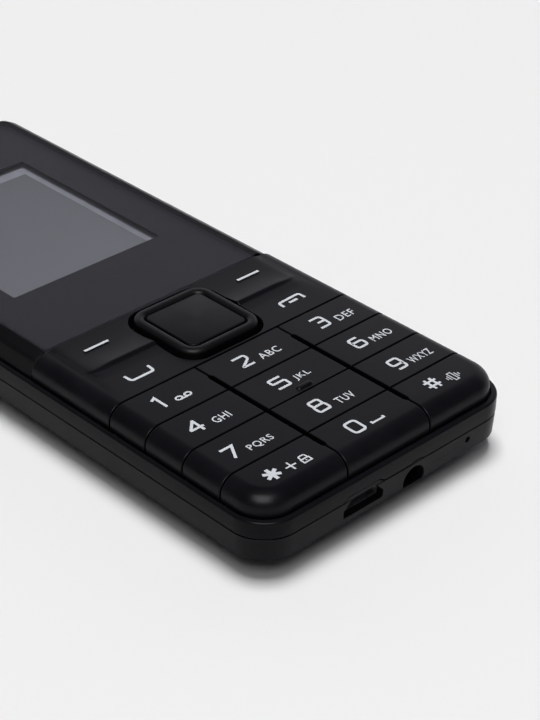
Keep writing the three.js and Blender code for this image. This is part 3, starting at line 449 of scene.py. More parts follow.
@dataclass(frozen=True)
class Finish(Surface):
    """A moulded, coated or metal surface with grain, tone patches and uneven gloss."""

    colour: Shade
    roughness: float
    metallic: float = 0.0
    specular: float = 0.5
    tone_spread: float = 0.12
    gloss_spread: float = 0.05
    patch_size: float = 5.0
    patch_detail: float = 3.0
    grain_size: float = 0.12
    grain_depth: float = 0.004
    grain_stretch: Triple = (1, 1, 1)

    def tone_ramp(self, shader: Shader, driver: Socket, span: Point) -> Socket:
        """The colour's darker and lighter tones over a span of a driver."""
        tones = (linear(self.colour, 1 - self.tone_spread), linear(self.colour, 1 + self.tone_spread))
        return shader.tones(driver, list(zip(span, tones)))

    def gloss(self, shader: Shader, patches: Socket) -> Socket:
        """The roughness, a little uneven."""
        values = (self.roughness - self.gloss_spread, self.roughness + self.gloss_spread)
        return shader.between(patches, values)

    def build(self, shader: Shader) -> bpy.types.Material:
        """Fills the material's nodes."""
        patches = shader.noise(self.patch_size, self.patch_detail)
        grain = shader.noise(self.grain_size, stretch=self.grain_stretch)
        surface = shader.add(
            "ShaderNodeBsdfPrincipled",
            Base_Color=self.tone_ramp(shader, patches, PATCH_SPAN),
            Roughness=self.gloss(shader, patches),
            Metallic=self.metallic,
            Specular_IOR_Level=self.specular,
            Normal=shader.bump(grain, self.grain_depth),
        )
        return shader.finish(surface)


@dataclass(frozen=True)
class SpunFinish(Finish):
    """A coated cap with a faint sheen that turns round its middle."""

    middle: Point = (0.0, 0.0)
    ring_span: Point = (0.2, 0.8)
    wobble: float = 0.6
    anisotropy: float = 0.6

    def build(self, shader: Shader) -> bpy.types.Material:
        """Fills the material's nodes, with fine rings about the middle."""
        x, y = self.middle
        mapping = shader.add("ShaderNodeMapping", Vector=shader.place, Location=(-x * MM, -y * MM, 0))
        scale = 1 / (self.grain_size * MM)
        rings = shader.add(
            "ShaderNodeTexWave", Vector=mapping.outputs[0], Scale=scale, Distortion=self.wobble
        )
        rings.wave_type = "RINGS"
        rings.rings_direction = "Z"
        patches = shader.noise(self.patch_size, self.patch_detail)
        surface = shader.add(
            "ShaderNodeBsdfPrincipled",
            Base_Color=self.tone_ramp(shader, rings.outputs["Fac"], self.ring_span),
            Roughness=self.gloss(shader, patches),
            Metallic=self.metallic,
            Specular_IOR_Level=self.specular,
            Anisotropic=self.anisotropy,
            Normal=shader.bump(rings.outputs["Fac"], self.grain_depth),
        )
        return shader.finish(surface)


@dataclass(frozen=True)
class PaneFinish(Surface):
    """Clear hard-coated pane: what lies behind shows, and the surface mirrors faintly."""

    tint: Shade
    sheen: Shade
    roughness: float
    ior: float = 1.45
    mark_size: float = 3.0
    mark_detail: float = 3.0
    mark_stretch: Triple = (0.4, 1.0, 1.0)
    mark_gain: float = 0.94
    gloss_shares: Point = (0.7, 1.3)

    def build(self, shader: Shader) -> bpy.types.Material:
        """Fills the material's nodes, with light wipe marks in its gloss."""
        marks = shader.noise(self.mark_size, self.mark_detail, self.mark_stretch)
        clear = shader.add("ShaderNodeBsdfTransparent", Color=(*linear(self.tint), 1))
        sheens = (linear(self.sheen, self.mark_gain), linear(self.sheen))
        mirror = shader.add(
            "ShaderNodeBsdfAnisotropic",
            Color=shader.tones(marks, list(zip(PATCH_SPAN, sheens))),
            Roughness=shader.between(marks, tuple(self.roughness * share for share in self.gloss_shares)),
        )
        front = shader.math("SUBTRACT", 1.0, shader.add("ShaderNodeNewGeometry").outputs["Backfacing"])
        share = shader.math("MULTIPLY", shader.add("ShaderNodeFresnel", IOR=self.ior).outputs[0], front)
        mix = shader.add("ShaderNodeMixShader", Fac=share)
        shader.feed(mix, 1, clear.outputs[0])
        shader.feed(mix, 2, mirror.outputs[0])
        return shader.finish(mix)


@dataclass(frozen=True)
class PixelFinish(Surface):
    """Switched-off display: a grey painted lighter at the near end and darker at the far end as painted
    shade, with a fine pixel grid.
    """

    lit_near_colour: Shade
    shaded_far_colour: Shade
    near: float = 0.0
    far: float = 0.0
    roughness: float = 0.35
    gloss_spread: float = 0.05
    specular: float = 0.2
    pitch: float = 0.22
    depth: float = 0.001

    def build(self, shader: Shader) -> bpy.types.Material:
        """Fills the material's nodes."""
        axes = shader.add("ShaderNodeSeparateXYZ", Vector=shader.place)
        # painted shade: the grey runs from the lighter near colour to the darker far colour along the display
        along = shader.between(axes.outputs["Y"], (0.0, 1.0), (self.near * MM, self.far * MM))
        rows = shader.wave(self.pitch)
        surface = shader.add(
            "ShaderNodeBsdfPrincipled",
            Base_Color=shader.tones(along, [(0.0, linear(self.lit_near_colour)), (1.0, linear(self.shaded_far_colour))]),
            Roughness=shader.between(rows, (self.roughness, self.roughness + self.gloss_spread), (0.0, 1.0)),
            Specular_IOR_Level=self.specular,
            Normal=shader.bump(rows, self.depth),
        )
        return shader.finish(surface)


@dataclass(frozen=True)
class WeaveFinish(Surface):
    """Fine metal or cloth weave of a small grille, with the holes between its threads painted dark as painted
    shade.
    """

    colour: Shade
    pitch: float
    metallic: float = 0.8
    thread_span: Point = (0.2, 0.8)
    # share of the colour left in the holes between the threads: painted shade
    hole_shade_gain: float = 0.1
    roughness: Point = (0.7, 0.4)
    depth_share: float = 0.25

    def build(self, shader: Shader) -> bpy.types.Material:
        """Fills the material's nodes with two crossing sets of threads and painted shade in the holes between
        them.
        """
        threads = shader.math("MAXIMUM", shader.wave(self.pitch), shader.wave(self.pitch, "Y"))
        # the holes get painted shade in place of the dark inside that real openings would show
        tones = (linear(self.colour, self.hole_shade_gain), linear(self.colour))
        surface = shader.add(
            "ShaderNodeBsdfPrincipled",
            Base_Color=shader.tones(threads, list(zip(self.thread_span, tones))),
            Roughness=shader.between(threads, self.roughness, (0.0, 1.0)),
            Metallic=self.metallic,
            Normal=shader.bump(threads, self.pitch * self.depth_share),
        )
        return shader.finish(surface)


@dataclass(frozen=True)
class BoardFinish(Surface):
    """Circuit board: solder mask over copper tracks and pads."""

    mask: Shade
    copper: Shade
    cell: float = 1.3
    places: tuple[float, ...] = (0.0, 0.12, 0.45, 0.52)
    mask_gains: tuple[float, ...] = (0.8, 1.0, 1.6)
    fine_size: float = 0.2
    roughness: Point = (0.35, 0.55)
    depth: float = 0.02

    def build(self, shader: Shader) -> bpy.types.Material:
        """Fills the material's nodes: tracks are the edges of square cells, pads are small discs."""
        tracks = shader.add("ShaderNodeTexVoronoi", Vector=shader.place, Scale=1 / (self.cell * MM))
        tracks.distance = "CHEBYCHEV"
        tracks.feature = "F1"
        level = tracks.outputs["Distance"]
        fine = shader.noise(self.fine_size)
        tones = [linear(self.copper), *(linear(self.mask, gain) for gain in self.mask_gains)]
        surface = shader.add(
            "ShaderNodeBsdfPrincipled",
            Base_Color=shader.tones(level, list(zip(self.places, tones))),
            Roughness=shader.between(fine, self.roughness),
            Normal=shader.bump(level, self.depth),
        )
        return shader.finish(surface)


CAP = Finish("satin cap", (15, 15, 19), 0.33, specular=0.11, grain_size=0.1, grain_depth=0.003)
SHELL = Finish("satin shell", (14, 14, 16), 0.36, specular=0.08, grain_size=0.1, grain_depth=0.003)
RIM = Finish(
    "semi-gloss rim", (17, 17, 20), 0.25, specular=0.07, gloss_spread=0.02, grain_size=0.2, grain_depth=0.0006
)
HOUSING = Finish("housing plastic", (17, 17, 20), 0.4, specular=0.09, grain_size=0.14, grain_depth=0.006)
RING = Finish("ring cap", (17, 17, 19), 0.4, specular=0.15, grain_size=0.2, grain_depth=0.001)
SPUN = SpunFinish("spun cap", (14, 14, 17), 0.34, specular=0.11, grain_size=0.9, grain_depth=0.0012)
PANE = PaneFinish("clear pane", (245, 245, 248), (156, 156, 161), 0.08)
# painted shade: the display's grey is lighter at the near end and darker at the far end
PIXELS = PixelFinish("display off", (115, 117, 117), (104, 106, 106))
PRINT = Finish("black print", (30, 30, 32), 0.5, specular=0.2, grain_size=0.3, grain_depth=0.0002)
INK = Finish(
    "legend ink", (200, 203, 208), 0.55, specular=0.2, tone_spread=0.05, grain_size=0.08, grain_depth=0.003
)
BAND = Finish("display edge", (148, 149, 152), 0.4, specular=0.2, grain_size=0.3, grain_depth=0.0005)


@dataclass(frozen=True)
class Edge:
    """Easing of a piece's sharp edges."""

    width: float = 0.1
    segments: int = 2
    limit: float = 42.0
    smooth: float = 24.0


def make_piece(
    name: str,
    solid: Solid,
    finish: Surface,
    body: str = BODY,
    nodes: tuple[str, ...] = (),
    edge: Edge | None = Edge(),
) -> bpy.types.Object:
    """Turns a solid into a visible piece.

    Args:
        name: The piece's name.
        solid: Its closed shape in millimetres.
        finish: Its surface.
        body: The CAD body that it rides on.
        nodes: The CAD nodes that it stands for.
        edge: How its sharp edges are eased, if they are.

    Returns:
        The piece.
    """
    shape = bmesh.new()
    shape.from_mesh(solid.mesh)
    bmesh.ops.remove_doubles(shape, verts=shape.verts, dist=WELD)
    bmesh.ops.dissolve_degenerate(shape, edges=shape.edges, dist=WELD)
    bmesh.ops.scale(shape, vec=(MM, MM, MM), verts=shape.verts)
    mesh = bpy.data.meshes.new(name)
    shape.to_mesh(mesh)
    shape.free()
    mesh.shade_smooth()
    mesh.set_sharp_from_angle(angle=math.radians(edge.smooth if edge else Edge().smooth))
    mesh.materials.append(finish.material())
    piece = bpy.data.objects.new(name, mesh)
    bpy.context.scene.collection.objects.link(piece)
    if edge:
        bevel = piece.modifiers.new("eased edges", "BEVEL")
        bevel.width = edge.width * MM
        bevel.segments = edge.segments
        bevel.limit_method = "ANGLE"
        bevel.angle_limit = math.radians(edge.limit)
        bevel.use_clamp_overlap = False
        bevel.harden_normals = True
    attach(piece, body)
    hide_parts(*nodes)
    LOG.info("%s rides on %s with %d faces", name, body, len(mesh.polygons))
    return piece


@dataclass(frozen=True)
class Body:
    """Outlines and heights that the outer pieces share, read from the frame."""

    outer_radius: float = 5.7
    outer_back_radius: float = 5.0
    raised_radius: float = 4.95
    raised_back_radius: float = 4.1
    shoulder_radius: float = 2.5
    cap_gap: float = 0.25
    column_pitch: float = 16.0

    @property
    def outer(self) -> Outline:
        """Outline of the rim and the housing."""
        return Extent.of("rim_frame").outline(self.outer_radius, self.outer_back_radius)

    @property
    def raised(self) -> Outline:
        """Outline of the keys and the front shell inside the rim's ledge."""
        shell = replace(Extent.of("front_shell"), front=Extent.of("key_star").front)
        return shell.outline(self.raised_radius, self.raised_back_radius)

    @property
    def ledge(self) -> float:
        """Height of the rim's ledge."""
        return Extent.of("rim_frame").top

    @property
    def key_top(self) -> float:
        """Height of the key tops."""
        return Extent.of("key_1").top

    @property
    def skirt_bottom(self) -> float:
        """Height of the lower ends of the caps' skirts."""
        return Extent.of("key_1").bottom

    @property
    def lens_top(self) -> float:
        """Height of the display lens."""
        return Extent.of("display_lens").top

    @property
    def lens_line(self) -> float:
        """Place along the phone where the keypad meets the display."""
        return Extent.of("function_panel").back + self.cap_gap / 2

    @property
    def row_lines(self) -> list[float]:
        """Lines at the far ends of the four rows of keys."""
        return [Extent.of(name).back + self.cap_gap / 2 for name in ("key_1", "key_4", "key_7", "key_star")]

    def cap_form(self) -> Solid:
        """Form that all caps share: walls up to the shoulder, then flat."""
        layers = [(0.0, self.skirt_bottom), *shoulder(self.shoulder_radius, self.key_top)]
        return Solid.loft(self.raised, layers)


@dataclass(frozen=True)
class NumberKeys:
    """Twelve hollow caps, with a wide groove along each column line."""

    body: Body
    groove_width: float = 0.8
    groove_start: float = 2.9
    groove_end: float = 3.8
    groove_run_out: float = 0.6
    skirt_thickness: float = 1.0
    cap_wall: float = 0.9
    bar_length: float = 2.8
    bar_width: float = 0.95
    bar_rise: float = 0.3
    bar_offset: float = 0.55
    bar_steps: int = 5
    press_room: float = 0.4
    web_room: float = 0.7
    edge: Edge = Edge(0.14, 3, 40.0)
    names: tuple[tuple[str, ...], ...] = (
        ("key_1", "key_2", "key_3"),
        ("key_4", "key_5", "key_6"),
        ("key_7", "key_8", "key_9"),
        ("key_star", "key_0", "key_hash"),
    )

    def half_gap(self, y: float) -> float:
        """Half of the gap at a column line: wide in the groove, thin past its run-outs."""
        lines = self.body.row_lines
        back_end = lines[0] - self.groove_start
        front_end = lines[3] - self.groove_end
        past = max(y - (back_end - self.groove_run_out), front_end + self.groove_run_out - y, 0)
        share = min(past / self.groove_run_out, 1)
        return (self.groove_width * (1 - share) + self.body.cap_gap * share) / 2

    def column_edge(self, line: float, side: int, front: float, back: float) -> list[Point]:
        """Points of a cap's edge beside a column line.

        Args:
            line: The column line's X.
            side: 1 for a cap on the line's right, -1 for one on its left.
            front: The cap's front end.
            back: The cap's back end.

        Returns:
            The points from front to back.
        """
        lines = self.body.row_lines
        back_end = lines[0] - self.groove_start
        front_end = lines[3] - self.groove_end
        run = self.groove_run_out
        bends = [front_end, front_end + run, back_end - run, back_end]
        stations = [front, *[y for y in bends if front < y < back], back]
        return [(line + side * self.half_gap(y), y) for y in stations]

    def cap(self, row: int, column: int) -> Solid:
        """One cap with its pocket from below."""
        body = self.body
        lines = body.row_lines
        raised = body.raised
        gap = body.cap_gap / 2
        line = body.column_pitch / 2
        last = row == len(lines) - 1
        back = lines[row] - gap
        front = raised.front - OVERRUN if last else lines[row + 1] + gap
        left_out = raised.left - OVERRUN
        right_out = raised.right + OVERRUN
        if column == 0:
            left = [(left_out, front), (left_out, back)]
        else:
            left = self.column_edge(-line if column == 1 else line, 1, front, back)
        if column == 2:
            right = [(right_out, front), (right_out, back)]
        else:
            right = self.column_edge(-line if column == 0 else line, -1, front, back)
        cell = Solid.prism([*right, *reversed(left)], body.skirt_bottom - OVERRUN, body.key_top + OVERRUN)
        shape = body.cap_form().keep(cell)
        mat_top = Extent.of("keypad_mat").top
        pocket_edge = self.groove_width / 2 + self.cap_wall
        pocket_top = mat_top + self.press_room
        middle = (column - 1) * body.column_pitch
        cutter = Extent(
            raised.left if column == 0 else middle - line + pocket_edge,
            raised.right if column == 2 else middle + line - pocket_edge,
            raised.front if last else front + self.cap_wall,
            back - self.cap_wall,
            body.skirt_bottom - OVERRUN,
            pocket_top,
        )
        inner = raised.inset(self.skirt_thickness)
        pocket = Solid.slab(inner, body.skirt_bottom - OVERRUN, pocket_top).keep(Solid.block(cutter))
        floor = Solid.slab(inner, body.skirt_bottom - OVERRUN, body.skirt_bottom + self.web_room)
        if row == 1 and column == 1:
            shape = shape.add(self.tactile_bar())
        return shape.cut(floor, pocket)

    def tactile_bar(self) -> Solid:
        """Small raised bar on the middle key."""
        front = self.body.row_lines[2] + self.bar_offset
        middle = (0.0, front + self.bar_width / 2)
        outline = Outline.around(middle, self.bar_length, self.bar_width, self.bar_width / 2)
        foot = self.body.key_top - self.bar_rise
        crown = shoulder(self.bar_rise, self.body.key_top + self.bar_rise, self.bar_steps)
        return Solid.loft(outline, [(0.0, foot), (0.0, self.body.key_top), *crown])

    def build(self) -> None:
        """Makes the twelve caps."""
        for row, names in enumerate(self.names):
            for column, name in enumerate(names):
                make_piece(f"{name}_cap", self.cap(row, column), CAP, name, (name,), self.edge)


@dataclass(frozen=True)
class FunctionKeys:
    """Panel of the soft keys and call keys, with the navigation ring and the select key in it."""

    body: Body
    plateau_inset: float = 1.8
    plateau_depth: float = 9.15
    plateau_radius: float = 3.6
    plateau_slope: float = 2.6
    plateau_foot: float = 0.25
    band_rise: float = 0.1
    band_middle: float = 4.6
    ridge_slope: float = 6.5
    ridge_foot: float = -0.25
    ridge_crest: float = 0.5
    ridge_rise: float = 0.5
    dish_length: float = 2.8
    dish_rise: float = 0.13
    sink: float = 0.02
    slope_steps: int = 10
    skirt_thickness: float = 1.0
    ring_radius: float = 2.9
    ring_band: float = 1.6
    ring_fillet: float = 0.7
    well_gap: float = 0.8
    select_gap: float = 0.25
    select_bevel: float = 0.2
    select_steps: int = 4
    select_room: float = 0.6
    carrier_room: float = 0.3
    post_half: float = 2.4
    post_radius: float = 0.3
    edge: Edge = Edge(0.14, 3, 40.0)
    ring_edge: Edge = Edge(0.06, 2, 50.0)

    @property
    def ring_outline(self) -> Outline:
        """Outline of the navigation ring."""
        return Extent.of("nav_ring").outline(self.ring_radius, self.ring_radius)

    def rise(self, depth: float) -> float:
        """Height of the soft keys' band over the key tops, at a distance behind its ridge's foot."""
        if depth < self.ridge_foot:
            share = max(1 + (depth - self.ridge_foot) / self.dish_length, 0.0)
            return self.dish_rise * share**2 - self.sink * (1 - share)
        if depth < self.ridge_crest:
            share = smooth((depth - self.ridge_foot) / (self.ridge_crest - self.ridge_foot))
            return self.dish_rise + (self.ridge_rise - self.dish_rise) * share
        if depth < self.band_middle:
            share = (self.band_middle - depth) / (self.band_middle - self.ridge_crest)
            return self.band_rise + (self.ridge_rise - self.band_rise) * share**2
        share = (depth - self.band_middle) / (self.plateau_depth - self.band_middle)
        return self.band_rise + (self.body.lens_top - self.body.key_top - self.band_rise) * share**2

    def plateau(self) -> Solid:
        """Raised band of the soft keys: a ridge in front, and sides that fade into the shoulder."""
        body = self.body
        half = body.raised.right - self.plateau_inset
        bend = half - self.plateau_radius
        count = self.slope_steps
        start = half - self.ridge_slope
        places = [start + (bend - start) * step / count for step in range(count)]
        turn = math.pi / 2 / count
        places += [bend + self.plateau_radius * math.sin(step * turn) for step in range(count + 1)]
        foot = self.ridge_foot
        turns = (foot - self.dish_length, foot, self.ridge_crest, self.band_middle, self.plateau_depth)
        legs = zip(turns, turns[1:])
        depths = [start + (end - start) * step / count for start, end in legs for step in range(count)]
        depths += [self.plateau_depth, self.plateau_depth + OVERRUN]
        low = Extent.of("function_panel").bottom + OVERRUN
        front = body.lens_line - self.plateau_depth
        rings = []
        for x in [*(-place for place in reversed(places)), *places]:
            over = max(abs(x) - bend, 0.0)
            back = self.plateau_radius - math.sqrt(max(self.plateau_radius**2 - over**2, 0.0))
            fade = smooth((half - abs(x)) / self.plateau_slope)
            ridge_fade = smooth((half - abs(x)) / self.ridge_slope)
            ring = [Vector((x, front + depths[-1], low)), Vector((x, front + back + depths[0], low))]
            for depth in depths:
                y = front + depth + back * min(max(1 - depth / self.plateau_depth, 0.0), 1.0)
                rise = self.rise(depth)
                if depth < self.band_middle:
                    rise = min(rise, self.band_rise) + max(rise - self.band_rise, 0.0) * ridge_fade
                z = body.key_top + rise * fade - self.plateau_foot * (1 - fade)
                ring.append(Vector((x, y, z)))
            rings.append(ring)
        return Solid.skin(rings)

    def panel(self) -> Solid:
        """The panel with the ring's well through it and its pocket from below."""
        body = self.body
        extent = Extent.of("function_panel")
        cell = extent.tall
        room_top = Extent.of("function_carrier").top + self.carrier_room
        room = Solid.slab(body.raised.inset(self.skirt_thickness), cell.bottom, room_top)
        well = Solid.slab(self.ring_outline.inset(-self.well_gap), cell.bottom, cell.top)
        return body.cap_form().add(self.plateau()).keep(Solid.block(cell)).cut(room, well)

    def ring(self) -> Solid:
        """The navigation ring with its rounded band."""
        extent = Extent.of("nav_ring")
        outline = self.ring_outline
        outer = Solid.loft(outline, [(0.0, extent.bottom), *shoulder(self.ring_fillet, extent.top)])
        flare = [(-amount, height) for amount, height in shoulder(self.ring_fillet, extent.top)]
        hole_layers = [(0.0, extent.bottom - OVERRUN), *flare, (-self.ring_fillet, extent.top + OVERRUN)]
        return outer.cut(Solid.loft(outline.inset(self.ring_band), hole_layers))

    def select(self) -> Solid:
        """The select key with the post under it."""
        extent = Extent.of("select_key")
        ring = Extent.of("nav_ring")
        outline = self.ring_outline.inset(self.ring_band + self.select_gap)
        low = Extent.of("nav_pad").top + self.select_room
        cap = Solid.loft(outline, [(0.0, low), *shoulder(self.select_bevel, extent.top, self.select_steps)])
        width = 2 * self.post_half
        post_outline = Outline.around(ring.middle, width, width, self.post_radius)
        return cap.add(Solid.slab(post_outline, extent.bottom, extent.top - self.select_bevel))

    def build(self) -> None:
        """Makes the panel, the ring and the select key."""
        spun = replace(SPUN, middle=Extent.of("nav_ring").middle)
        for name, solid, finish, node, edge in (
            ("function_cap", self.panel(), CAP, "function_panel", self.edge),
            ("ring_cap", self.ring(), RING, "nav_ring", self.ring_edge),
            ("select_cap", self.select(), spun, "select_key", self.ring_edge),
        ):
            make_piece(name, solid, finish, node, (node,), edge)


@dataclass(frozen=True)
class Screen:
    """Front shell with the display lens, and the display's active area behind the lens."""

    body: Body
    crease_inset: float = 0.95
    crease_drop: float = 0.8
    crease_ease: float = 0.5
    bevel_drop: float = 0.05
    lens_radius: float = 2.0
    lens_gap: float = 0.08
    shell_wall: float = 1.2
    plate_thickness: float = 1.0
    glass_radius: float = 1.7
    room_gap: float = 0.3
    slot_length: float = 11.0
    slot_width: float = 1.8
    gasket_margin: float = 1.1
    active_side: float = 13.0
    active_front_share: float = 0.06
    active_back_inset: float = 3.6
    active_rise: float = 0.02
    boss_radius: float = 2.1
    shell_edge: Edge = Edge(0.1, 3, 55.0)
    lens_edge: Edge = Edge(0.12, 3, 50.0)

    @property
    def lens_outline(self) -> Outline:
        """Outline of the lens."""
        return Extent.of("display_lens").outline(SHARP_RADIUS, self.lens_radius)

    @property
    def slot_outline(self) -> Outline:
        """Outline of the earpiece slot."""
        middle = Extent.of("earpiece_mesh").middle
        return Outline.around(middle, self.slot_length, self.slot_width, self.slot_width / 2)

    def shell(self) -> Solid:
        """The shell's frame round the lens, with its cavity, bosses and openings."""
        body = self.body
        extent = Extent.of("front_shell")
        lens = self.lens_outline
        lens_inset = lens.left - body.raised.left
        profile = [
            (0.0, extent.bottom),
            (0.0, body.ledge),
            (self.crease_inset, body.key_top - self.crease_drop),
            (lens_inset, body.lens_top - self.bevel_drop),
        ]
        form = Solid.loft(body.raised, eased(profile, self.crease_ease))
        cell = replace(extent.tall, front=lens.front, back=extent.back + OVERRUN)
        plate_top = Extent.of("lens_border").bottom - SHARP_RADIUS
        plate_bottom = plate_top - self.plate_thickness
        room = replace(lens.inset(-self.lens_gap), front=lens.front - OVERRUN)
        low, high = plate_bottom - OVERRUN, plate_top + OVERRUN
        glass_room = Extent.of("lcd_glass").outline(self.glass_radius, self.glass_radius)
        frame_form = form.keep(Solid.block(cell)).cut(
            Solid.slab(room, plate_top, cell.top),
            Solid.slab(body.raised.inset(self.shell_wall), cell.bottom, plate_bottom),
            Solid.slab(glass_room.inset(-self.room_gap), low, high),
            Solid.slab(self.slot_outline.inset(-self.gasket_margin), low, high),
        )
        bosses = screw_bars(DISPLAY_SCREWS, self.boss_radius, extent.bottom, plate_top)
        chassis_top = Extent.of("keypad_chassis").top
        holes = screw_bars(DISPLAY_SCREWS, SCREW_HOLE_RADIUS, cell.bottom, chassis_top)
        return frame_form.add(*bosses).cut(*holes)

    def build(self) -> None:
        """Makes the shell, the lens and the active area."""
        make_piece("shell_frame", self.shell(), SHELL, BODY, ("front_shell",), self.shell_edge)
        extent = Extent.of("display_lens")
        slot = Solid.slab(self.slot_outline, extent.tall.bottom, extent.tall.top)
        lens = Solid.slab(self.lens_outline, extent.bottom, extent.top).cut(slot)
        make_piece("lens_pane", lens, PANE, BODY, ("display_lens",), self.lens_edge)
        glass = Extent.of("lcd_glass")
        active = Outline(
            -self.active_side,
            self.active_side,
            glass.front + (glass.back - glass.front) * self.active_front_share,
            glass.back - self.active_back_inset,
            SHARP_RADIUS,
            SHARP_RADIUS,
        )
        # the display's painted shade runs from the active area's front to its back
        pixels = replace(PIXELS, near=active.front, far=active.back)
        area = Solid.slab(active, glass.top - self.active_rise, glass.top + self.active_rise)
        make_piece("display_active", area, pixels, BODY, (), None)


@dataclass(frozen=True)
class Ports:
    """Openings at the port end, and the rises of the parting line over them."""

    body: Body
    usb_width: float = 7.5
    usb_chamfer: float = 1.4
    usb_rise: float = 0.6
    usb_height: float = 2.6
    usb_ease: float = 0.22
    usb_steps: int = 4
    foot_margin: float = 0.3
    top_margin: float = 0.5
    fit_gap: float = 0.15
    jack_gap: float = 0.25
    jack_rise: float = 0.25
    jack_foot_half: float = 1.6
    jack_top_half: float = 0.5
    jack_shift: float = 0.4
    jack_wall: float = 0.45
    jack_boss_wall: float = 1.0
    microphone_radius: float = 0.45

    def usb_section(self) -> list[Point]:
        """Outline of the socket's opening in X and Z."""
        socket = Extent.of("usb_socket")
        x = socket.middle[0]
        bottom = socket.bottom - self.fit_gap
        top = bottom + self.usb_height
        half = self.usb_width / 2
        knee = top - self.usb_chamfer
        points = [
            (x - half, bottom),
            (x + half, bottom),
            (x + half, knee),
            (x + half - self.usb_chamfer, top),
            (x - half + self.usb_chamfer, top),
            (x - half, knee),
        ]
        return eased(points, self.usb_ease, closed=True, steps=self.usb_steps)

    @property
    def jack_middle(self) -> Point:
        """Middle of the jack in X and Z."""
        jack = Extent.of("audio_jack")
        return jack.middle[0], (jack.bottom + jack.top) / 2

    @property
    def jack_opening(self) -> float:
        """Radius of the jack's opening in the housing."""
        jack = Extent.of("audio_jack")
        return (jack.top - jack.bottom) / 2 - self.jack_wall + self.jack_gap

    @property
    def microphone_middle(self) -> Point:
        """Middle of the microphone's hole in X and Z."""
        boot = Extent.of("mic_boot")
        return boot.middle[0], (boot.bottom + boot.top) / 2

    def rises(self, growth: float, foot: float, parting: float) -> list[list[Point]]:
        """Outlines of the two rises in X and Z.

        Args:
            growth: How much larger than the tabs the outlines are.
            foot: Height of their lower ends.
            parting: Height of the parting line.

        Returns:
            The outline over the socket and the one over the jack.
        """
        usb_x = Extent.of("usb_socket").middle[0]
        usb_foot_half = self.usb_width / 2 + self.foot_margin
        usb_top_half = self.usb_width / 2 - self.usb_chamfer + self.top_margin
        jack_x = self.jack_middle[0] + self.jack_shift
        shapes = (
            (usb_x, usb_foot_half, usb_top_half, self.usb_rise),
            (jack_x, self.jack_foot_half, self.jack_top_half, self.jack_rise),
        )
        return [
            [
                (x - foot_half - growth, foot),
                (x + foot_half + growth, foot),
                (x + top_half + growth, parting + rise + growth),
                (x - top_half - growth, parting + rise + growth),
            ]
            for x, foot_half, top_half, rise in shapes
        ]


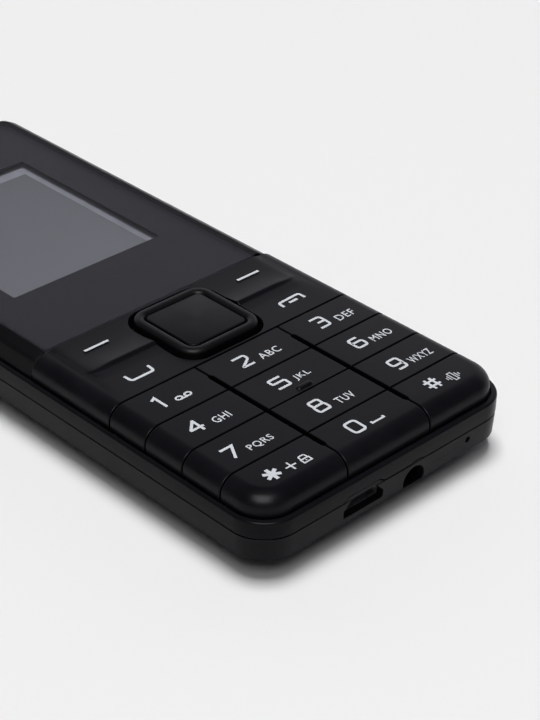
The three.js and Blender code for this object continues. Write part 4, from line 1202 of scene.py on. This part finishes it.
@dataclass(frozen=True)
class Casing:
    """Rim frame, rear housing and battery cover."""

    body: Body
    ports: Ports
    rim_seat_depth: float = 1.05
    rim_flange: float = 1.4
    rim_fillet: float = 0.34
    rim_foot: float = 0.15
    rim_steps: int = 6
    parting_gap: float = 0.1
    wall_top_inset: float = 0.05
    wall_middle_inset: float = 0.12
    wall_middle_share: float = 0.6
    wall_foot_inset: float = 0.25
    wall_foot_rise: float = 0.15
    wall_ease: float = 0.8
    bulge_ease: float = 1.2
    bulge_top_inset: float = 0.35
    bulge_inset: float = 7.8
    bulge_shares: tuple[Point, ...] = ((0.8, 0.065), (0.6, 0.23), (0.4, 0.47))
    cover_gap: float = 0.1
    cover_thickness: float = 0.95
    cover_lip: float = 2.75
    inner_shares: tuple[Point, ...] = ((0.78, 0.12), (0.54, 0.37), (0.37, 0.72))
    housing_wall: float = 1.9
    port_floor: float = 1.05
    partition: float = 1.0
    floor_thickness: float = 0.5
    board_gap: float = 0.45
    bay_radius: float = 1.2
    bay_wall: float = 1.0
    bay_bottom: float = 2.2
    room_gap: float = 0.3
    boss_inset: float = 0.3
    jack_lip: float = 0.3
    tab_step: float = 0.04
    notch_gap: float = 0.16
    microphone_sides: int = 24
    slot_count: int = 5
    slot_length: float = 8.0
    slot_width: float = 0.9
    slot_pitch: float = 1.9
    rim_edge: Edge = Edge(0.05, 2, 50.0)
    wall_edge: Edge = Edge(0.08, 2, 50.0)
    housed: tuple[str, ...] = (
        "sim_holder_1",
        "sim_holder_2",
        "memory_card_holder",
        "shield_can_processor",
        "shield_can_radio",
    )

    @property
    def parting(self) -> float:
        """Height of the line between the rim and the housing."""
        return Extent.of("rim_frame").bottom - self.parting_gap / 2

    @property
    def cover_edge(self) -> float:
        """Height of the line between the housing and the cover."""
        return Extent.of("battery_cover").top + self.cover_gap

    @property
    def port_back(self) -> float:
        """Place along the phone where the housing's port block meets the cover."""
        return Extent.of("battery_cover").front - self.cover_gap

    def profile(self) -> Layers:
        """Outer layers of the back: the bulge, the fine step and the tapered wall."""
        reach = self.bulge_inset - self.bulge_top_inset
        bulge = [(self.bulge_inset, 0.0)]
        for inset_share, height_share in self.bulge_shares:
            bulge.append((self.bulge_top_inset + reach * inset_share, self.cover_edge * height_share))
        bulge.append((self.bulge_top_inset, self.cover_edge))
        wall_height = self.parting - self.cover_edge
        wall = [
            (self.wall_foot_inset, self.cover_edge + self.wall_foot_rise),
            (self.wall_middle_inset, self.cover_edge + wall_height * self.wall_middle_share),
            (self.wall_top_inset, self.parting - self.parting_gap / 2),
        ]
        return [*eased(bulge, self.bulge_ease), *eased(wall, self.wall_ease)]

    def inner_profile(self, lift: float) -> Layers:
        """Inner layers of the back, one cover thickness inside the bulge, lifted by an amount."""
        layers = [(self.bulge_inset, self.cover_thickness + lift)]
        for inset_share, height_share in self.inner_shares:
            amount = self.bulge_inset * inset_share + self.cover_thickness * (1 - inset_share)
            height = self.cover_thickness + (self.cover_edge - self.cover_thickness) * height_share
            layers.append((amount, height + lift))
        return [*layers, (self.cover_lip, self.cover_edge + lift)]

    def rim(self) -> Solid:
        """The band round the phone, with its ledge and the notches over the ports."""
        outer = self.body.outer
        extent = Extent.of("rim_frame")
        layers = [(self.rim_foot, extent.bottom), (0.0, extent.bottom + self.rim_foot)]
        layers += shoulder(self.rim_fillet, extent.top, self.rim_steps)
        seat = self.body.raised.inset(-self.body.cap_gap)
        raised_room = Solid.slab(seat, extent.top - self.rim_seat_depth, extent.tall.top)
        inner_room = Solid.slab(outer.inset(self.rim_flange), extent.tall.bottom, extent.tall.top)
        foot = extent.bottom - self.parting_gap - self.wall_top_inset
        notches = [
            Solid.prism(outline, outer.front - OVERRUN, outer.front + self.rim_flange + OVERRUN, Run.ALONG)
            for outline in self.ports.rises(self.notch_gap, foot, self.parting)
        ]
        return Solid.loft(outer, layers).cut(raised_room, inner_room, *notches)

    def openings(self, bottom: float, top: float) -> list[Solid]:
        """Openings in the housing's floor for the holders, the cans, the battery contacts and the screws.

        Args:
            bottom: Lower end of the cutters.
            top: Upper end of the cutters.

        Returns:
            The cutters.
        """
        lows = {name: bottom for name in self.housed} | {"battery_connector": self.bay_bottom - OVERRUN}
        rooms = [
            Solid.slab(Extent.of(name).outline(self.room_gap, self.room_gap).inset(-self.room_gap), low, top)
            for name, low in lows.items()
        ]
        return [*rooms, *screw_bars(SCREWS, SCREW_HOLE_RADIUS, bottom, top)]

    def housing(self) -> Solid:
        """The lower shell with its port block, floor, battery bay and openings."""
        outer = self.body.outer
        ports = self.ports
        form = Solid.loft(outer, self.profile())
        around = outer.inset(-OVERRUN)
        front = around.front
        top = self.parting + OVERRUN
        wide = Extent(around.left, around.right, front, around.back, self.cover_edge, top)
        port_cell = replace(wide, back=self.port_back, bottom=-OVERRUN, top=self.cover_edge + OVERRUN)
        shell = form.keep(Solid.block(wide).add(Solid.block(port_cell)))
        room_back = self.port_back - self.partition
        lift = self.port_floor - self.cover_thickness
        port_layers = [
            *self.inner_profile(lift),
            (self.housing_wall, self.cover_edge + self.partition),
            (self.housing_wall, top),
        ]
        deep = replace(wide, bottom=0.0, top=top + OVERRUN)
        port_room = Solid.loft(outer, port_layers).keep(Solid.block(replace(deep, back=room_back)))
        wall_room = Solid.slab(outer.inset(self.housing_wall), self.cover_edge - OVERRUN, top)
        wall_room = wall_room.keep(Solid.block(replace(deep, front=self.port_back)))
        jack_front = Extent.of("audio_jack").front
        boss_radius = ports.jack_opening + ports.jack_boss_wall
        boss_room = Solid.loft(outer.inset(self.boss_inset), self.profile())
        boss = Solid.round_bar(ports.jack_middle, boss_radius, front, jack_front - self.room_gap, Run.ALONG)
        jack_bar = boss.keep(boss_room)
        floor_top = Extent.of("main_board").bottom - self.board_gap
        floor_bottom = floor_top - self.floor_thickness
        floor_outline = outer.inset(self.rim_flange + self.room_gap)
        floor_outline = replace(floor_outline, front=room_back, front_radius=SHARP_RADIUS)
        floor = Solid.slab(floor_outline, floor_bottom, floor_top)
        bay = Extent.of("battery").outline(self.bay_radius, self.bay_radius).inset(-self.room_gap)
        bay_tube = Solid.slab(bay.inset(-self.bay_wall), self.bay_bottom, floor_top).cut(
            Solid.slab(bay, self.bay_bottom - OVERRUN, floor_bottom)
        )
        foot = self.parting - self.parting_gap / 2 - self.wall_top_inset
        tab_front = outer.front + self.wall_top_inset + self.tab_step
        tabs = [
            Solid.prism(outline, tab_front, outer.front + self.rim_flange, Run.ALONG)
            for outline in ports.rises(0.0, foot, self.parting)
        ]
        skin = form.cut(Solid.loft(outer.inset(self.jack_lip), self.profile()))
        lip = skin.keep(Solid.block(replace(port_cell, top=self.cover_edge)))
        jack_back = jack_front + OVERRUN
        jack_hole = Solid.round_bar(ports.jack_middle, ports.jack_opening, front, jack_back, Run.ALONG)
        hole_back = outer.front + self.housing_wall + OVERRUN
        hole_radius = ports.microphone_radius
        microphone_hole = Solid.round_bar(
            ports.microphone_middle, hole_radius, front, hole_back, Run.ALONG, self.microphone_sides
        )
        whole = shell.cut(port_room, wall_room).add(jack_bar, floor, bay_tube, *tabs)
        return whole.cut(
            *self.openings(floor_bottom - OVERRUN, floor_top + OVERRUN),
            Solid.prism(ports.usb_section(), front, room_back - OVERRUN, Run.ALONG),
            jack_hole.cut(lip),
            microphone_hole,
        )

    def cover(self) -> Solid:
        """The battery cover with the loudspeaker's slots."""
        outer = self.body.outer
        extent = Extent.of("battery_cover")
        wide = outer.inset(-OVERRUN)
        cell = Extent(wide.left, wide.right, extent.front, wide.back, -OVERRUN, extent.top)
        room_outline = replace(outer, front=outer.front - (self.port_back - outer.front))
        room_layers = [*self.inner_profile(0.0), (self.cover_lip, self.cover_edge + OVERRUN)]
        x, y = Extent.of("loudspeaker").middle
        slots = []
        for index in range(self.slot_count):
            place = (x, y + (index - (self.slot_count - 1) / 2) * self.slot_pitch)
            outline = Outline.around(place, self.slot_length, self.slot_width, self.slot_width / 2)
            slots.append(Solid.slab(outline, -OVERRUN, self.cover_thickness + OVERRUN))
        form = Solid.loft(outer, self.profile()).keep(Solid.block(cell))
        return form.cut(Solid.loft(room_outline, room_layers), *slots)

    def build(self) -> None:
        """Makes the rim, the housing and the cover."""
        slot, edge, cover = "housing_plastic", self.wall_edge, "battery_cover"
        make_piece("rim_band", self.rim(), RIM, BODY, ("rim_frame",), self.rim_edge)
        make_piece("rear_shell", self.housing(), HOUSING, BODY, ("rear_housing",), edge)
        make_piece("back_cover", self.cover(), HOUSING, cover, (cover,), edge)


@dataclass(frozen=True)
class Room:
    """Rectangle in plan that a glyph fills."""

    left: float
    right: float
    low: float
    high: float

    def at(self, share: Point) -> Point:
        """Point at shares of the rectangle's width and height."""
        return self.left + (self.right - self.left) * share[0], self.low + (self.high - self.low) * share[1]

    def raised(self, line: float) -> "Room":
        """The rectangle moved along the phone to a row's line."""
        return replace(self, low=line + self.low, high=line + self.high)


@dataclass(frozen=True)
class Stroke:
    """A line of a glyph in shares of its rectangle, with eased bends."""

    points: tuple[Point, ...]
    closed: bool = False
    ease: float = 0.0


class Print:
    """Thin raised print: strokes and letters collected into one mesh."""

    lift = 0.004
    depth = 0.05
    sharpest = 0.4
    letter_space = 1.12
    curve_steps = 3

    def __init__(self, surface: float, rise: float = 0.02) -> None:
        """Starts empty print on a surface at a height."""
        self.shape = bmesh.new()
        self.top = surface + rise
        self.bottom = surface - self.depth

    def line(self, points: list[Point], width: float, closed: bool = False) -> None:
        """Adds a line of even width through points.

        Args:
            points: The line's points in plan.
            width: Its width.
            closed: Whether the last point joins the first.
        """
        count = len(points)
        rails: list[tuple[Vector, Vector]] = []
        for index, point in enumerate(points):
            here = Vector(point)
            before = Vector(points[index - 1]) if closed or index else None
            after = Vector(points[(index + 1) % count]) if closed or index < count - 1 else None
            legs = ((here - before) if before else None, (after - here) if after else None)
            ways = [leg.normalized() for leg in legs if leg]
            way = sum(ways, Vector((0, 0))).normalized()
            side = Vector((-way.y, way.x))
            stretch = 1 / max(math.sqrt((1 + ways[0].dot(ways[-1])) / 2), self.sharpest)
            rails.append((here + side * width / 2 * stretch, here - side * width / 2 * stretch))
        self.top += self.lift
        rings = []
        for left, right in rails:
            corners = ((left, self.top), (right, self.top), (right, self.bottom), (left, self.bottom))
            rings.append([self.shape.verts.new((place.x, place.y, height)) for place, height in corners])
        pairs = list(zip(rings, rings[1:]))
        if closed:
            pairs.append((rings[-1], rings[0]))
        for low, high in pairs:
            for index in range(len(low)):
                after_index = (index + 1) % len(low)
                self.shape.faces.new((low[index], low[after_index], high[after_index], high[index]))
        if not closed:
            self.shape.faces.new(rings[0])
            self.shape.faces.new(list(reversed(rings[-1])))

    def glyph(self, strokes: tuple[Stroke, ...], room: Room, width: float) -> None:
        """Adds a glyph whose strokes keep inside a rectangle.

        Args:
            strokes: The glyph's lines.
            room: The rectangle that the glyph fills.
            width: Width of its lines.
        """
        half = width / 2
        inner = Room(room.left + half, room.right - half, room.low + half, room.high - half)
        for stroke in strokes:
            points = [inner.at(share) for share in stroke.points]
            if stroke.ease:
                points = eased(points, stroke.ease, stroke.closed)
            self.line(points, width, stroke.closed)

    def letters(self, text: str, room: Room, weight: float = 0.008) -> None:
        """Adds plain letters stretched to fill a rectangle.

        Args:
            text: The letters.
            room: The rectangle that they fill.
            weight: How much their outlines grow, as a share of their size.
        """
        curve = bpy.data.curves.new("letters", "FONT")
        curve.body = text
        curve.size = 1
        curve.offset = weight
        curve.space_character = self.letter_space
        curve.resolution_u = self.curve_steps
        holder = bpy.data.objects.new("letters", curve)
        bpy.context.scene.collection.objects.link(holder)
        graph = bpy.context.evaluated_depsgraph_get()
        mesh = bpy.data.meshes.new_from_object(holder.evaluated_get(graph))
        bpy.data.objects.remove(holder)
        letter = bmesh.new()
        letter.from_mesh(mesh)
        low = Vector((min(v.co.x for v in letter.verts), min(v.co.y for v in letter.verts)))
        high = Vector((max(v.co.x for v in letter.verts), max(v.co.y for v in letter.verts)))
        self.top += self.lift
        for vert in letter.verts:
            share = ((vert.co.x - low.x) / (high.x - low.x), (vert.co.y - low.y) / (high.y - low.y))
            vert.co.x, vert.co.y = room.at(share)
            vert.co.z = self.top
        bmesh.ops.recalc_face_normals(letter, faces=letter.faces)
        grown = bmesh.ops.extrude_face_region(letter, geom=letter.faces[:])
        for item in grown["geom"]:
            if isinstance(item, bmesh.types.BMVert):
                item.co.z = self.bottom
        letter.to_mesh(mesh)
        letter.free()
        self.shape.from_mesh(mesh)

    def piece(self, name: str, body: str, slot: str) -> bpy.types.Object:
        """Turns the print into a piece that rides on a body."""
        bmesh.ops.recalc_face_normals(self.shape, faces=self.shape.faces)
        mesh = bpy.data.meshes.new(name)
        self.shape.to_mesh(mesh)
        self.shape.free()
        return make_piece(name, Solid(mesh), INK, body, (), None)


def circle(middle: Point, radius: float, height_share: float = 1.0, sides: int = 16) -> tuple[Point, ...]:
    """Points of a circle in shares, which may be flattened in height."""
    x, y = middle
    angles = [side / sides * math.tau for side in range(sides)]
    return tuple((x + radius * math.cos(a), y + radius * height_share * math.sin(a)) for a in angles)


GLYPHS: dict[str, tuple[Stroke, ...]] = {
    "0": (Stroke(((0, 0), (1, 0), (1, 1), (0, 1)), True, 0.6),),
    "1": (Stroke(((0, 0.84), (0.9, 1), (0.9, 0))),),
    "2": (Stroke(((0, 1), (1, 1), (1, 0.6), (0, 0.0), (1, 0)), False, 0.45),),
    "3": (Stroke(((0, 1), (1, 1), (1, 0), (0, 0)), False, 0.5), Stroke(((0.3, 0.52), (1, 0.52)))),
    "4": (
        Stroke(((0.74, -0.04), (0.74, 1.04))),
        Stroke(((0.8, 1.02), (0.0, 0.3))),
        Stroke(((-0.04, 0.3), (1, 0.3))),
    ),
    "5": (Stroke(((1, 1), (0.05, 1), (0.05, 0.56), (1, 0.56), (1, 0), (0, 0)), False, 0.28),),
    "6": (Stroke(((0.92, 1), (0, 1), (0, 0), (1, 0), (1, 0.58), (0, 0.58)), False, 0.5),),
    "7": (Stroke(((0, 1), (1, 1), (0.3, 0))),),
    "8": (
        Stroke(((0.06, 1), (0.94, 1), (0.94, 0.54), (0.06, 0.54)), True, 0.4),
        Stroke(((0, 0.54), (1, 0.54), (1, 0), (0, 0)), True, 0.4),
    ),
    "9": (Stroke(((0.08, 0), (1, 0), (1, 1), (0, 1), (0, 0.42), (1, 0.42)), False, 0.5),),
    "star": (
        Stroke(((0.5, 0), (0.5, 1))),
        Stroke(((0.05, 0.25), (0.95, 0.75))),
        Stroke(((0.05, 0.75), (0.95, 0.25))),
    ),
    "hash": (
        Stroke(((0.3, 0), (0.3, 1))),
        Stroke(((0.74, 0), (0.74, 1))),
        Stroke(((0, 0.3), (1, 0.3))),
        Stroke(((0, 0.72), (1, 0.72))),
    ),
    "plus": (Stroke(((0.5, 0), (0.5, 1))), Stroke(((0, 0.5), (1, 0.5)))),
    "lock": (
        Stroke(((0, 0), (1, 0), (1, 0.5), (0, 0.5)), True),
        Stroke(((0.1, 0.5), (0.1, 1), (0.9, 1), (0.9, 0.5)), False, 0.45),
        Stroke(((0.5, 0.18), (0.5, 0.3))),
    ),
    "space": (Stroke(((0, 1), (0, 0), (1, 0), (1, 1))),),
    "mail": (
        Stroke(circle((0.2, 0.5), 0.2, 2.5), True),
        Stroke(circle((0.8, 0.5), 0.2, 2.5), True),
        Stroke(((0.2, 0), (0.8, 0))),
    ),
    "buzz": (
        Stroke(((0.36, 0), (0.64, 0), (0.64, 1), (0.36, 1)), True),
        Stroke(((0.18, 0.2), (0.18, 0.8))),
        Stroke(((0.82, 0.2), (0.82, 0.8))),
        Stroke(((0, 0.36), (0, 0.64))),
        Stroke(((1, 0.36), (1, 0.64))),
    ),
    "dash": (Stroke(((0, 0.5), (1, 0.5))),),
    "call": (Stroke(((0, 1), (0.03, 0), (0.97, 0), (1, 1)), False, 0.5),),
    "end": (Stroke(((0, 0), (0, 0.86), (1, 1), (1, 0)), False, 0.5),),
}


@dataclass(frozen=True)
class Mark:
    """One legend: a glyph or letters in a rectangle, with heights from its row's line."""

    key: str
    sign: str
    left: float
    right: float
    low: float
    high: float
    width: float = 0.42

    @property
    def room(self) -> Room:
        """The legend's rectangle, from its row's line."""
        return Room(self.left, self.right, self.low, self.high)


DIGIT_MARKS = (
    Mark("key_1", "1", -18.3, -17.0, -5.15, -1.95),
    Mark("key_2", "2", -3.35, -0.7, -5.05, -2.2),
    Mark("key_3", "3", 12.2, 14.6, -4.95, -1.95),
    Mark("key_4", "4", -19.1, -16.4, -5.1, -2.15),
    Mark("key_5", "5", -3.5, -0.75, -5.0, -2.15),
    Mark("key_6", "6", 12.3, 14.6, -5.0, -2.2),
    Mark("key_7", "7", -19.5, -17.0, -5.45, -2.55),
    Mark("key_8", "8", -3.3, -0.85, -5.45, -2.35),
    Mark("key_9", "9", 12.3, 14.6, -5.35, -2.4),
    Mark("key_star", "star", -19.25, -16.2, -5.15, -2.1, 0.56),
    Mark("key_0", "0", -3.3, -0.9, -4.8, -1.85),
    Mark("key_hash", "hash", 12.0, 14.7, -4.7, -1.8, 0.4),
)
LETTER_MARKS = (
    Mark("key_2", "ABC", 0.45, 4.25, -5.1, -3.6),
    Mark("key_3", "DEF", 15.9, 19.3, -5.1, -3.6),
    Mark("key_4", "GHI", -15.1, -12.2, -5.1, -3.6),
    Mark("key_5", "JKL", 0.2, 3.1, -5.05, -3.55),
    Mark("key_6", "MNO", 15.5, 19.4, -5.1, -3.6),
    Mark("key_7", "PQRS", -16.0, -11.7, -5.6, -4.1),
    Mark("key_8", "TUV", 0.4, 3.6, -5.6, -4.1),
    Mark("key_9", "WXYZ", 15.3, 19.6, -5.35, -3.85),
)
SMALL_MARKS = (
    Mark("key_1", "mail", -15.4, -12.5, -5.0, -3.9, 0.3),
    Mark("key_star", "plus", -15.7, -13.6, -5.0, -2.9, 0.26),
    Mark("key_star", "lock", -13.0, -11.4, -4.85, -3.1, 0.24),
    Mark("key_0", "space", 0.1, 2.65, -4.5, -3.75, 0.36),
    Mark("key_hash", "buzz", 15.6, 18.05, -5.0, -2.95, 0.16),
)


@dataclass(frozen=True)
class Legends:
    """Digits, letters and small signs on the keys."""

    body: Body
    slot: str = "satin_cap"
    soft_dash: Room = Room(12.3, 17.1, 13.0, 13.5)
    dash_width: float = 0.45
    call_sign: Room = Room(-17.0, -12.3, 2.95, 4.95)
    end_sign: Room = Room(12.4, 17.1, 2.95, 4.85)
    end_dash: Room = Room(13.8, 15.9, 3.35, 3.85)
    sign_width: float = 0.45

    def build(self) -> None:
        """Makes one print for each key, and those of the function panel."""
        lines = self.body.row_lines
        rows = {name: line for line, names in zip(lines, NumberKeys(self.body).names) for name in names}
        prints = {name: Print(self.body.key_top) for name in rows}
        for mark in (*DIGIT_MARKS, *SMALL_MARKS):
            prints[mark.key].glyph(GLYPHS[mark.sign], mark.room.raised(rows[mark.key]), mark.width)
        for mark in LETTER_MARKS:
            prints[mark.key].letters(mark.sign, mark.room.raised(rows[mark.key]))
        for name, each in prints.items():
            each.piece(f"{name}_print", name, self.slot)
        self.panel(lines[0])

    def panel(self, line: float) -> None:
        """Makes the print of the soft keys and the call keys.

        Args:
            line: The first row's line, from which its places are told.
        """
        soft = Print(self.body.lens_top)
        for side in (-1, 1):
            ends = sorted((side * self.soft_dash.left, side * self.soft_dash.right))
            room = replace(self.soft_dash, left=ends[0], right=ends[1]).raised(line)
            soft.glyph(GLYPHS["dash"], room, self.dash_width)
        soft.piece("soft_key_print", "function_panel", self.slot)
        calls = Print(self.body.key_top)
        for sign, room in (("call", self.call_sign), ("end", self.end_sign), ("dash", self.end_dash)):
            calls.glyph(GLYPHS[sign], room.raised(line), self.sign_width)
        calls.piece("call_key_print", "function_panel", self.slot)


class Internals:
    """Finishes of the CAD nodes whose shapes stay."""

    dressed: tuple[tuple[Surface, tuple[str, ...]], ...] = (
        (PRINT, ("lens_border",)),
        (BAND, ("lcd_glass",)),
        (Finish("module frame", (212, 212, 207), 0.6, grain_depth=0.006), ("lcd_module",)),
        (Finish("flex film", (154, 106, 31), 0.4, grain_size=0.4), ("lcd_flex",)),
        # the weave's holes carry painted shade
        (WeaveFinish("grille weave", (90, 91, 94), 0.2), ("earpiece_mesh",)),
        (
            Finish("dark silicone", (20, 20, 22), 0.85, specular=0.2, grain_size=0.2),
            ("earpiece_gasket", "function_carrier", "nav_pad", "mic_boot"),
        ),
        (Finish("grey silicone", (40, 40, 43), 0.8, specular=0.2, grain_size=0.2), ("keypad_mat",)),
        (Finish("dome film", (201, 196, 180), 0.35, metallic=0.3, grain_size=0.5), ("dome_sheet",)),
        (
            Finish(
                "stamped steel",
                (120, 122, 125),
                0.38,
                metallic=0.9,
                grain_size=0.2,
                grain_stretch=(1, 0.06, 1),
            ),
            ("keypad_chassis",),
        ),
        (BoardFinish("board mask", (31, 90, 56), (176, 116, 58)), ("main_board",)),
        (
            Finish("connector plastic", (16, 16, 18), 0.55, grain_size=0.15),
            ("usb_tongue", "audio_jack", "battery_connector", "loudspeaker", "earpiece_speaker"),
        ),
        (
            Finish(
                "tin plate", (170, 172, 174), 0.34, metallic=0.95, grain_size=0.25, grain_stretch=(1, 0.1, 1)
            ),
            (
                "usb_socket",
                "microphone",
                "sim_holder_1",
                "sim_holder_2",
                "memory_card_holder",
                "shield_can_processor",
                "shield_can_radio",
                "vibration_motor",
            ),
        ),
        (Finish("battery wrap", (143, 147, 152), 0.5, metallic=0.2, grain_size=0.6), ("battery",)),
        (
            Finish("screw steel", (58, 58, 61), 0.35, metallic=0.9, grain_size=0.15),
            tuple(f"screw_{number}" for number in SCREWS),
        ),
        (
            Finish(
                "sintered tungsten", (119, 120, 122), 0.4, metallic=0.9, grain_size=0.15, grain_depth=0.01
            ),
            ("motor_weight",),
        ),
        (
            Finish(
                "copper strip", (176, 116, 58), 0.35, metallic=0.9, grain_size=0.3, grain_stretch=(0.1, 1, 1)
            ),
            ("antenna",),
        ),
    )

    def build(self) -> None:
        """Puts each finish on its nodes' material slots."""
        for finish, names in self.dressed:
            for name in names:
                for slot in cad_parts[name].material_slots:
                    slot.link = "OBJECT"
                    slot.material = finish.material()
                LOG.info("%s keeps its shape and gets %s", name, finish.name)


@dataclass(frozen=True)
class Viewpoint:
    """The camera that was fitted to the photograph."""

    yaw: float = -44.773
    pitch: float = 32.443
    roll: float = 1.117
    target: Triple = (2.706, -34.541, 12.4)
    distance: float = 271.954
    lens: float = 96.779
    sensor: float = 36.0
    shift_x: float = -0.02391
    shift_y: float = 0.0009
    clip_start: float = 0.01
    clip_end: float = 20.0

    def build(self) -> None:
        """Makes the camera."""
        yaw = math.radians(self.yaw)
        pitch = math.radians(self.pitch)
        back = Vector((math.sin(yaw) * math.cos(pitch), -math.cos(yaw) * math.cos(pitch), math.sin(pitch)))
        across = Vector((0, 0, 1)).cross(back).normalized()
        turn = Matrix.Rotation(math.radians(self.roll), 3, back)
        across = turn @ across
        matrix = Matrix((across, back.cross(across), back)).transposed().to_4x4()
        matrix.translation = (Vector(self.target) + back * self.distance) * MM
        data = bpy.data.cameras.new("view")
        data.lens = self.lens
        data.sensor_width = self.sensor
        data.shift_x = self.shift_x
        data.shift_y = self.shift_y
        data.clip_start = self.clip_start
        data.clip_end = self.clip_end
        camera = bpy.data.objects.new("view", data)
        camera.matrix_world = matrix
        bpy.context.scene.collection.objects.link(camera)
        bpy.context.scene.camera = camera


@dataclass(frozen=True)
class SoftBox:
    """Square lamp that looks at the phone from a direction."""

    name: str
    way: Triple
    distance: float
    size: float
    power: float
    mirrored: bool = True
    diffused: bool = True

    def build(self) -> None:
        """Makes the lamp."""
        data = bpy.data.lights.new(self.name, "AREA")
        data.shape = "SQUARE"
        data.size = self.size
        data.energy = self.power
        lamp = bpy.data.objects.new(self.name, data)
        lamp.visible_glossy = self.mirrored
        lamp.visible_diffuse = self.diffused
        way = Vector(self.way).normalized()
        lamp.location = way * self.distance
        lamp.rotation_euler = way.to_track_quat("Z", "Y").to_euler()
        bpy.context.scene.collection.objects.link(lamp)


@dataclass(frozen=True)
class Studio:
    """Pale floor, dark surroundings with a pale backdrop behind the phone, and soft lamps."""

    floor_half: float = 6.0
    floor_colour: Shade = (240, 240, 240)
    floor_gain: float = 0.995
    floor_patch: float = 400.0
    floor_roughness: float = 0.5
    backdrop: float = 0.7
    backdrop_way: Triple = (0.704, 0.71, 0.0)
    backdrop_sides: Point = (0.35, 0.75)
    backdrop_tops: Point = (0.5, 0.76)
    surround: float = 0.04
    tint: Triple = (0.98, 0.97, 1.03)
    lamps: tuple[SoftBox, ...] = (
        SoftBox("high lamp", (0.075, 0.075, 1.0), 2.2, 0.85, 43.5, mirrored=False),
        SoftBox("front lamp", (-0.38, -0.38, 0.84), 1.5, 0.75, 3.0, mirrored=False),
        SoftBox("gloss lamp", (-0.44, -0.42, 0.74), 1.5, 1.05, 30.0, diffused=False),
    )

    def floor(self) -> None:
        """Makes the floor."""
        half = self.floor_half
        mesh = bpy.data.meshes.new("floor")
        corners = [(-half, -half, 0), (half, -half, 0), (half, half, 0), (-half, half, 0)]
        mesh.from_pydata(corners, [], [range(len(corners))])
        shader = Shader("floor paper")
        tones = (linear(self.floor_colour, self.floor_gain), linear(self.floor_colour))
        surface = shader.add(
            "ShaderNodeBsdfDiffuse",
            Color=shader.tones(shader.noise(self.floor_patch, 1.0), list(zip(PATCH_SPAN, tones))),
            Roughness=self.floor_roughness,
        )
        mesh.materials.append(shader.finish(surface))
        floor = bpy.data.objects.new("floor", mesh)
        bpy.context.scene.collection.objects.link(floor)

    def surroundings(self) -> None:
        """Makes the surroundings: dark, but for the pale backdrop behind the phone."""
        world = bpy.data.worlds.new("surroundings")
        world.use_nodes = True
        nodes = Nodes(world.node_tree)
        way = nodes.add("ShaderNodeTexCoord").outputs["Generated"]
        height = nodes.add("ShaderNodeSeparateXYZ", Vector=way).outputs["Z"]
        behind = nodes.add("ShaderNodeVectorMath")
        behind.operation = "DOT_PRODUCT"
        nodes.feed(behind, 0, way)
        nodes.feed(behind, 1, self.backdrop_way)
        across = nodes.between(behind.outputs["Value"], (0.0, 1.0), self.backdrop_sides, "SMOOTHSTEP")
        upward = nodes.between(height, (self.backdrop, 0.0), self.backdrop_tops, "SMOOTHSTEP")
        level = nodes.math("ADD", nodes.math("MULTIPLY", across, upward), self.surround)
        sky = nodes.add("ShaderNodeBackground", Color=(*self.tint, 1), Strength=level)
        nodes.add("ShaderNodeOutputWorld", Surface=sky.outputs[0])
        bpy.context.scene.world = world

    def build(self) -> None:
        """Makes the floor, the surroundings and the lamps."""
        self.floor()
        self.surroundings()
        for lamp in self.lamps:
            lamp.build()
        bpy.context.scene.view_settings.view_transform = "Standard"


def main() -> None:
    """Builds the camera, the phone's pieces and the studio."""
    logging.basicConfig(level=logging.INFO, format="%(message)s")
    Viewpoint().build()
    body = Body()
    NumberKeys(body).build()
    FunctionKeys(body).build()
    Screen(body).build()
    Casing(body, Ports(body)).build()
    Legends(body).build()
    Internals().build()
    Studio().build()


if __name__ == "__main__":
    main()
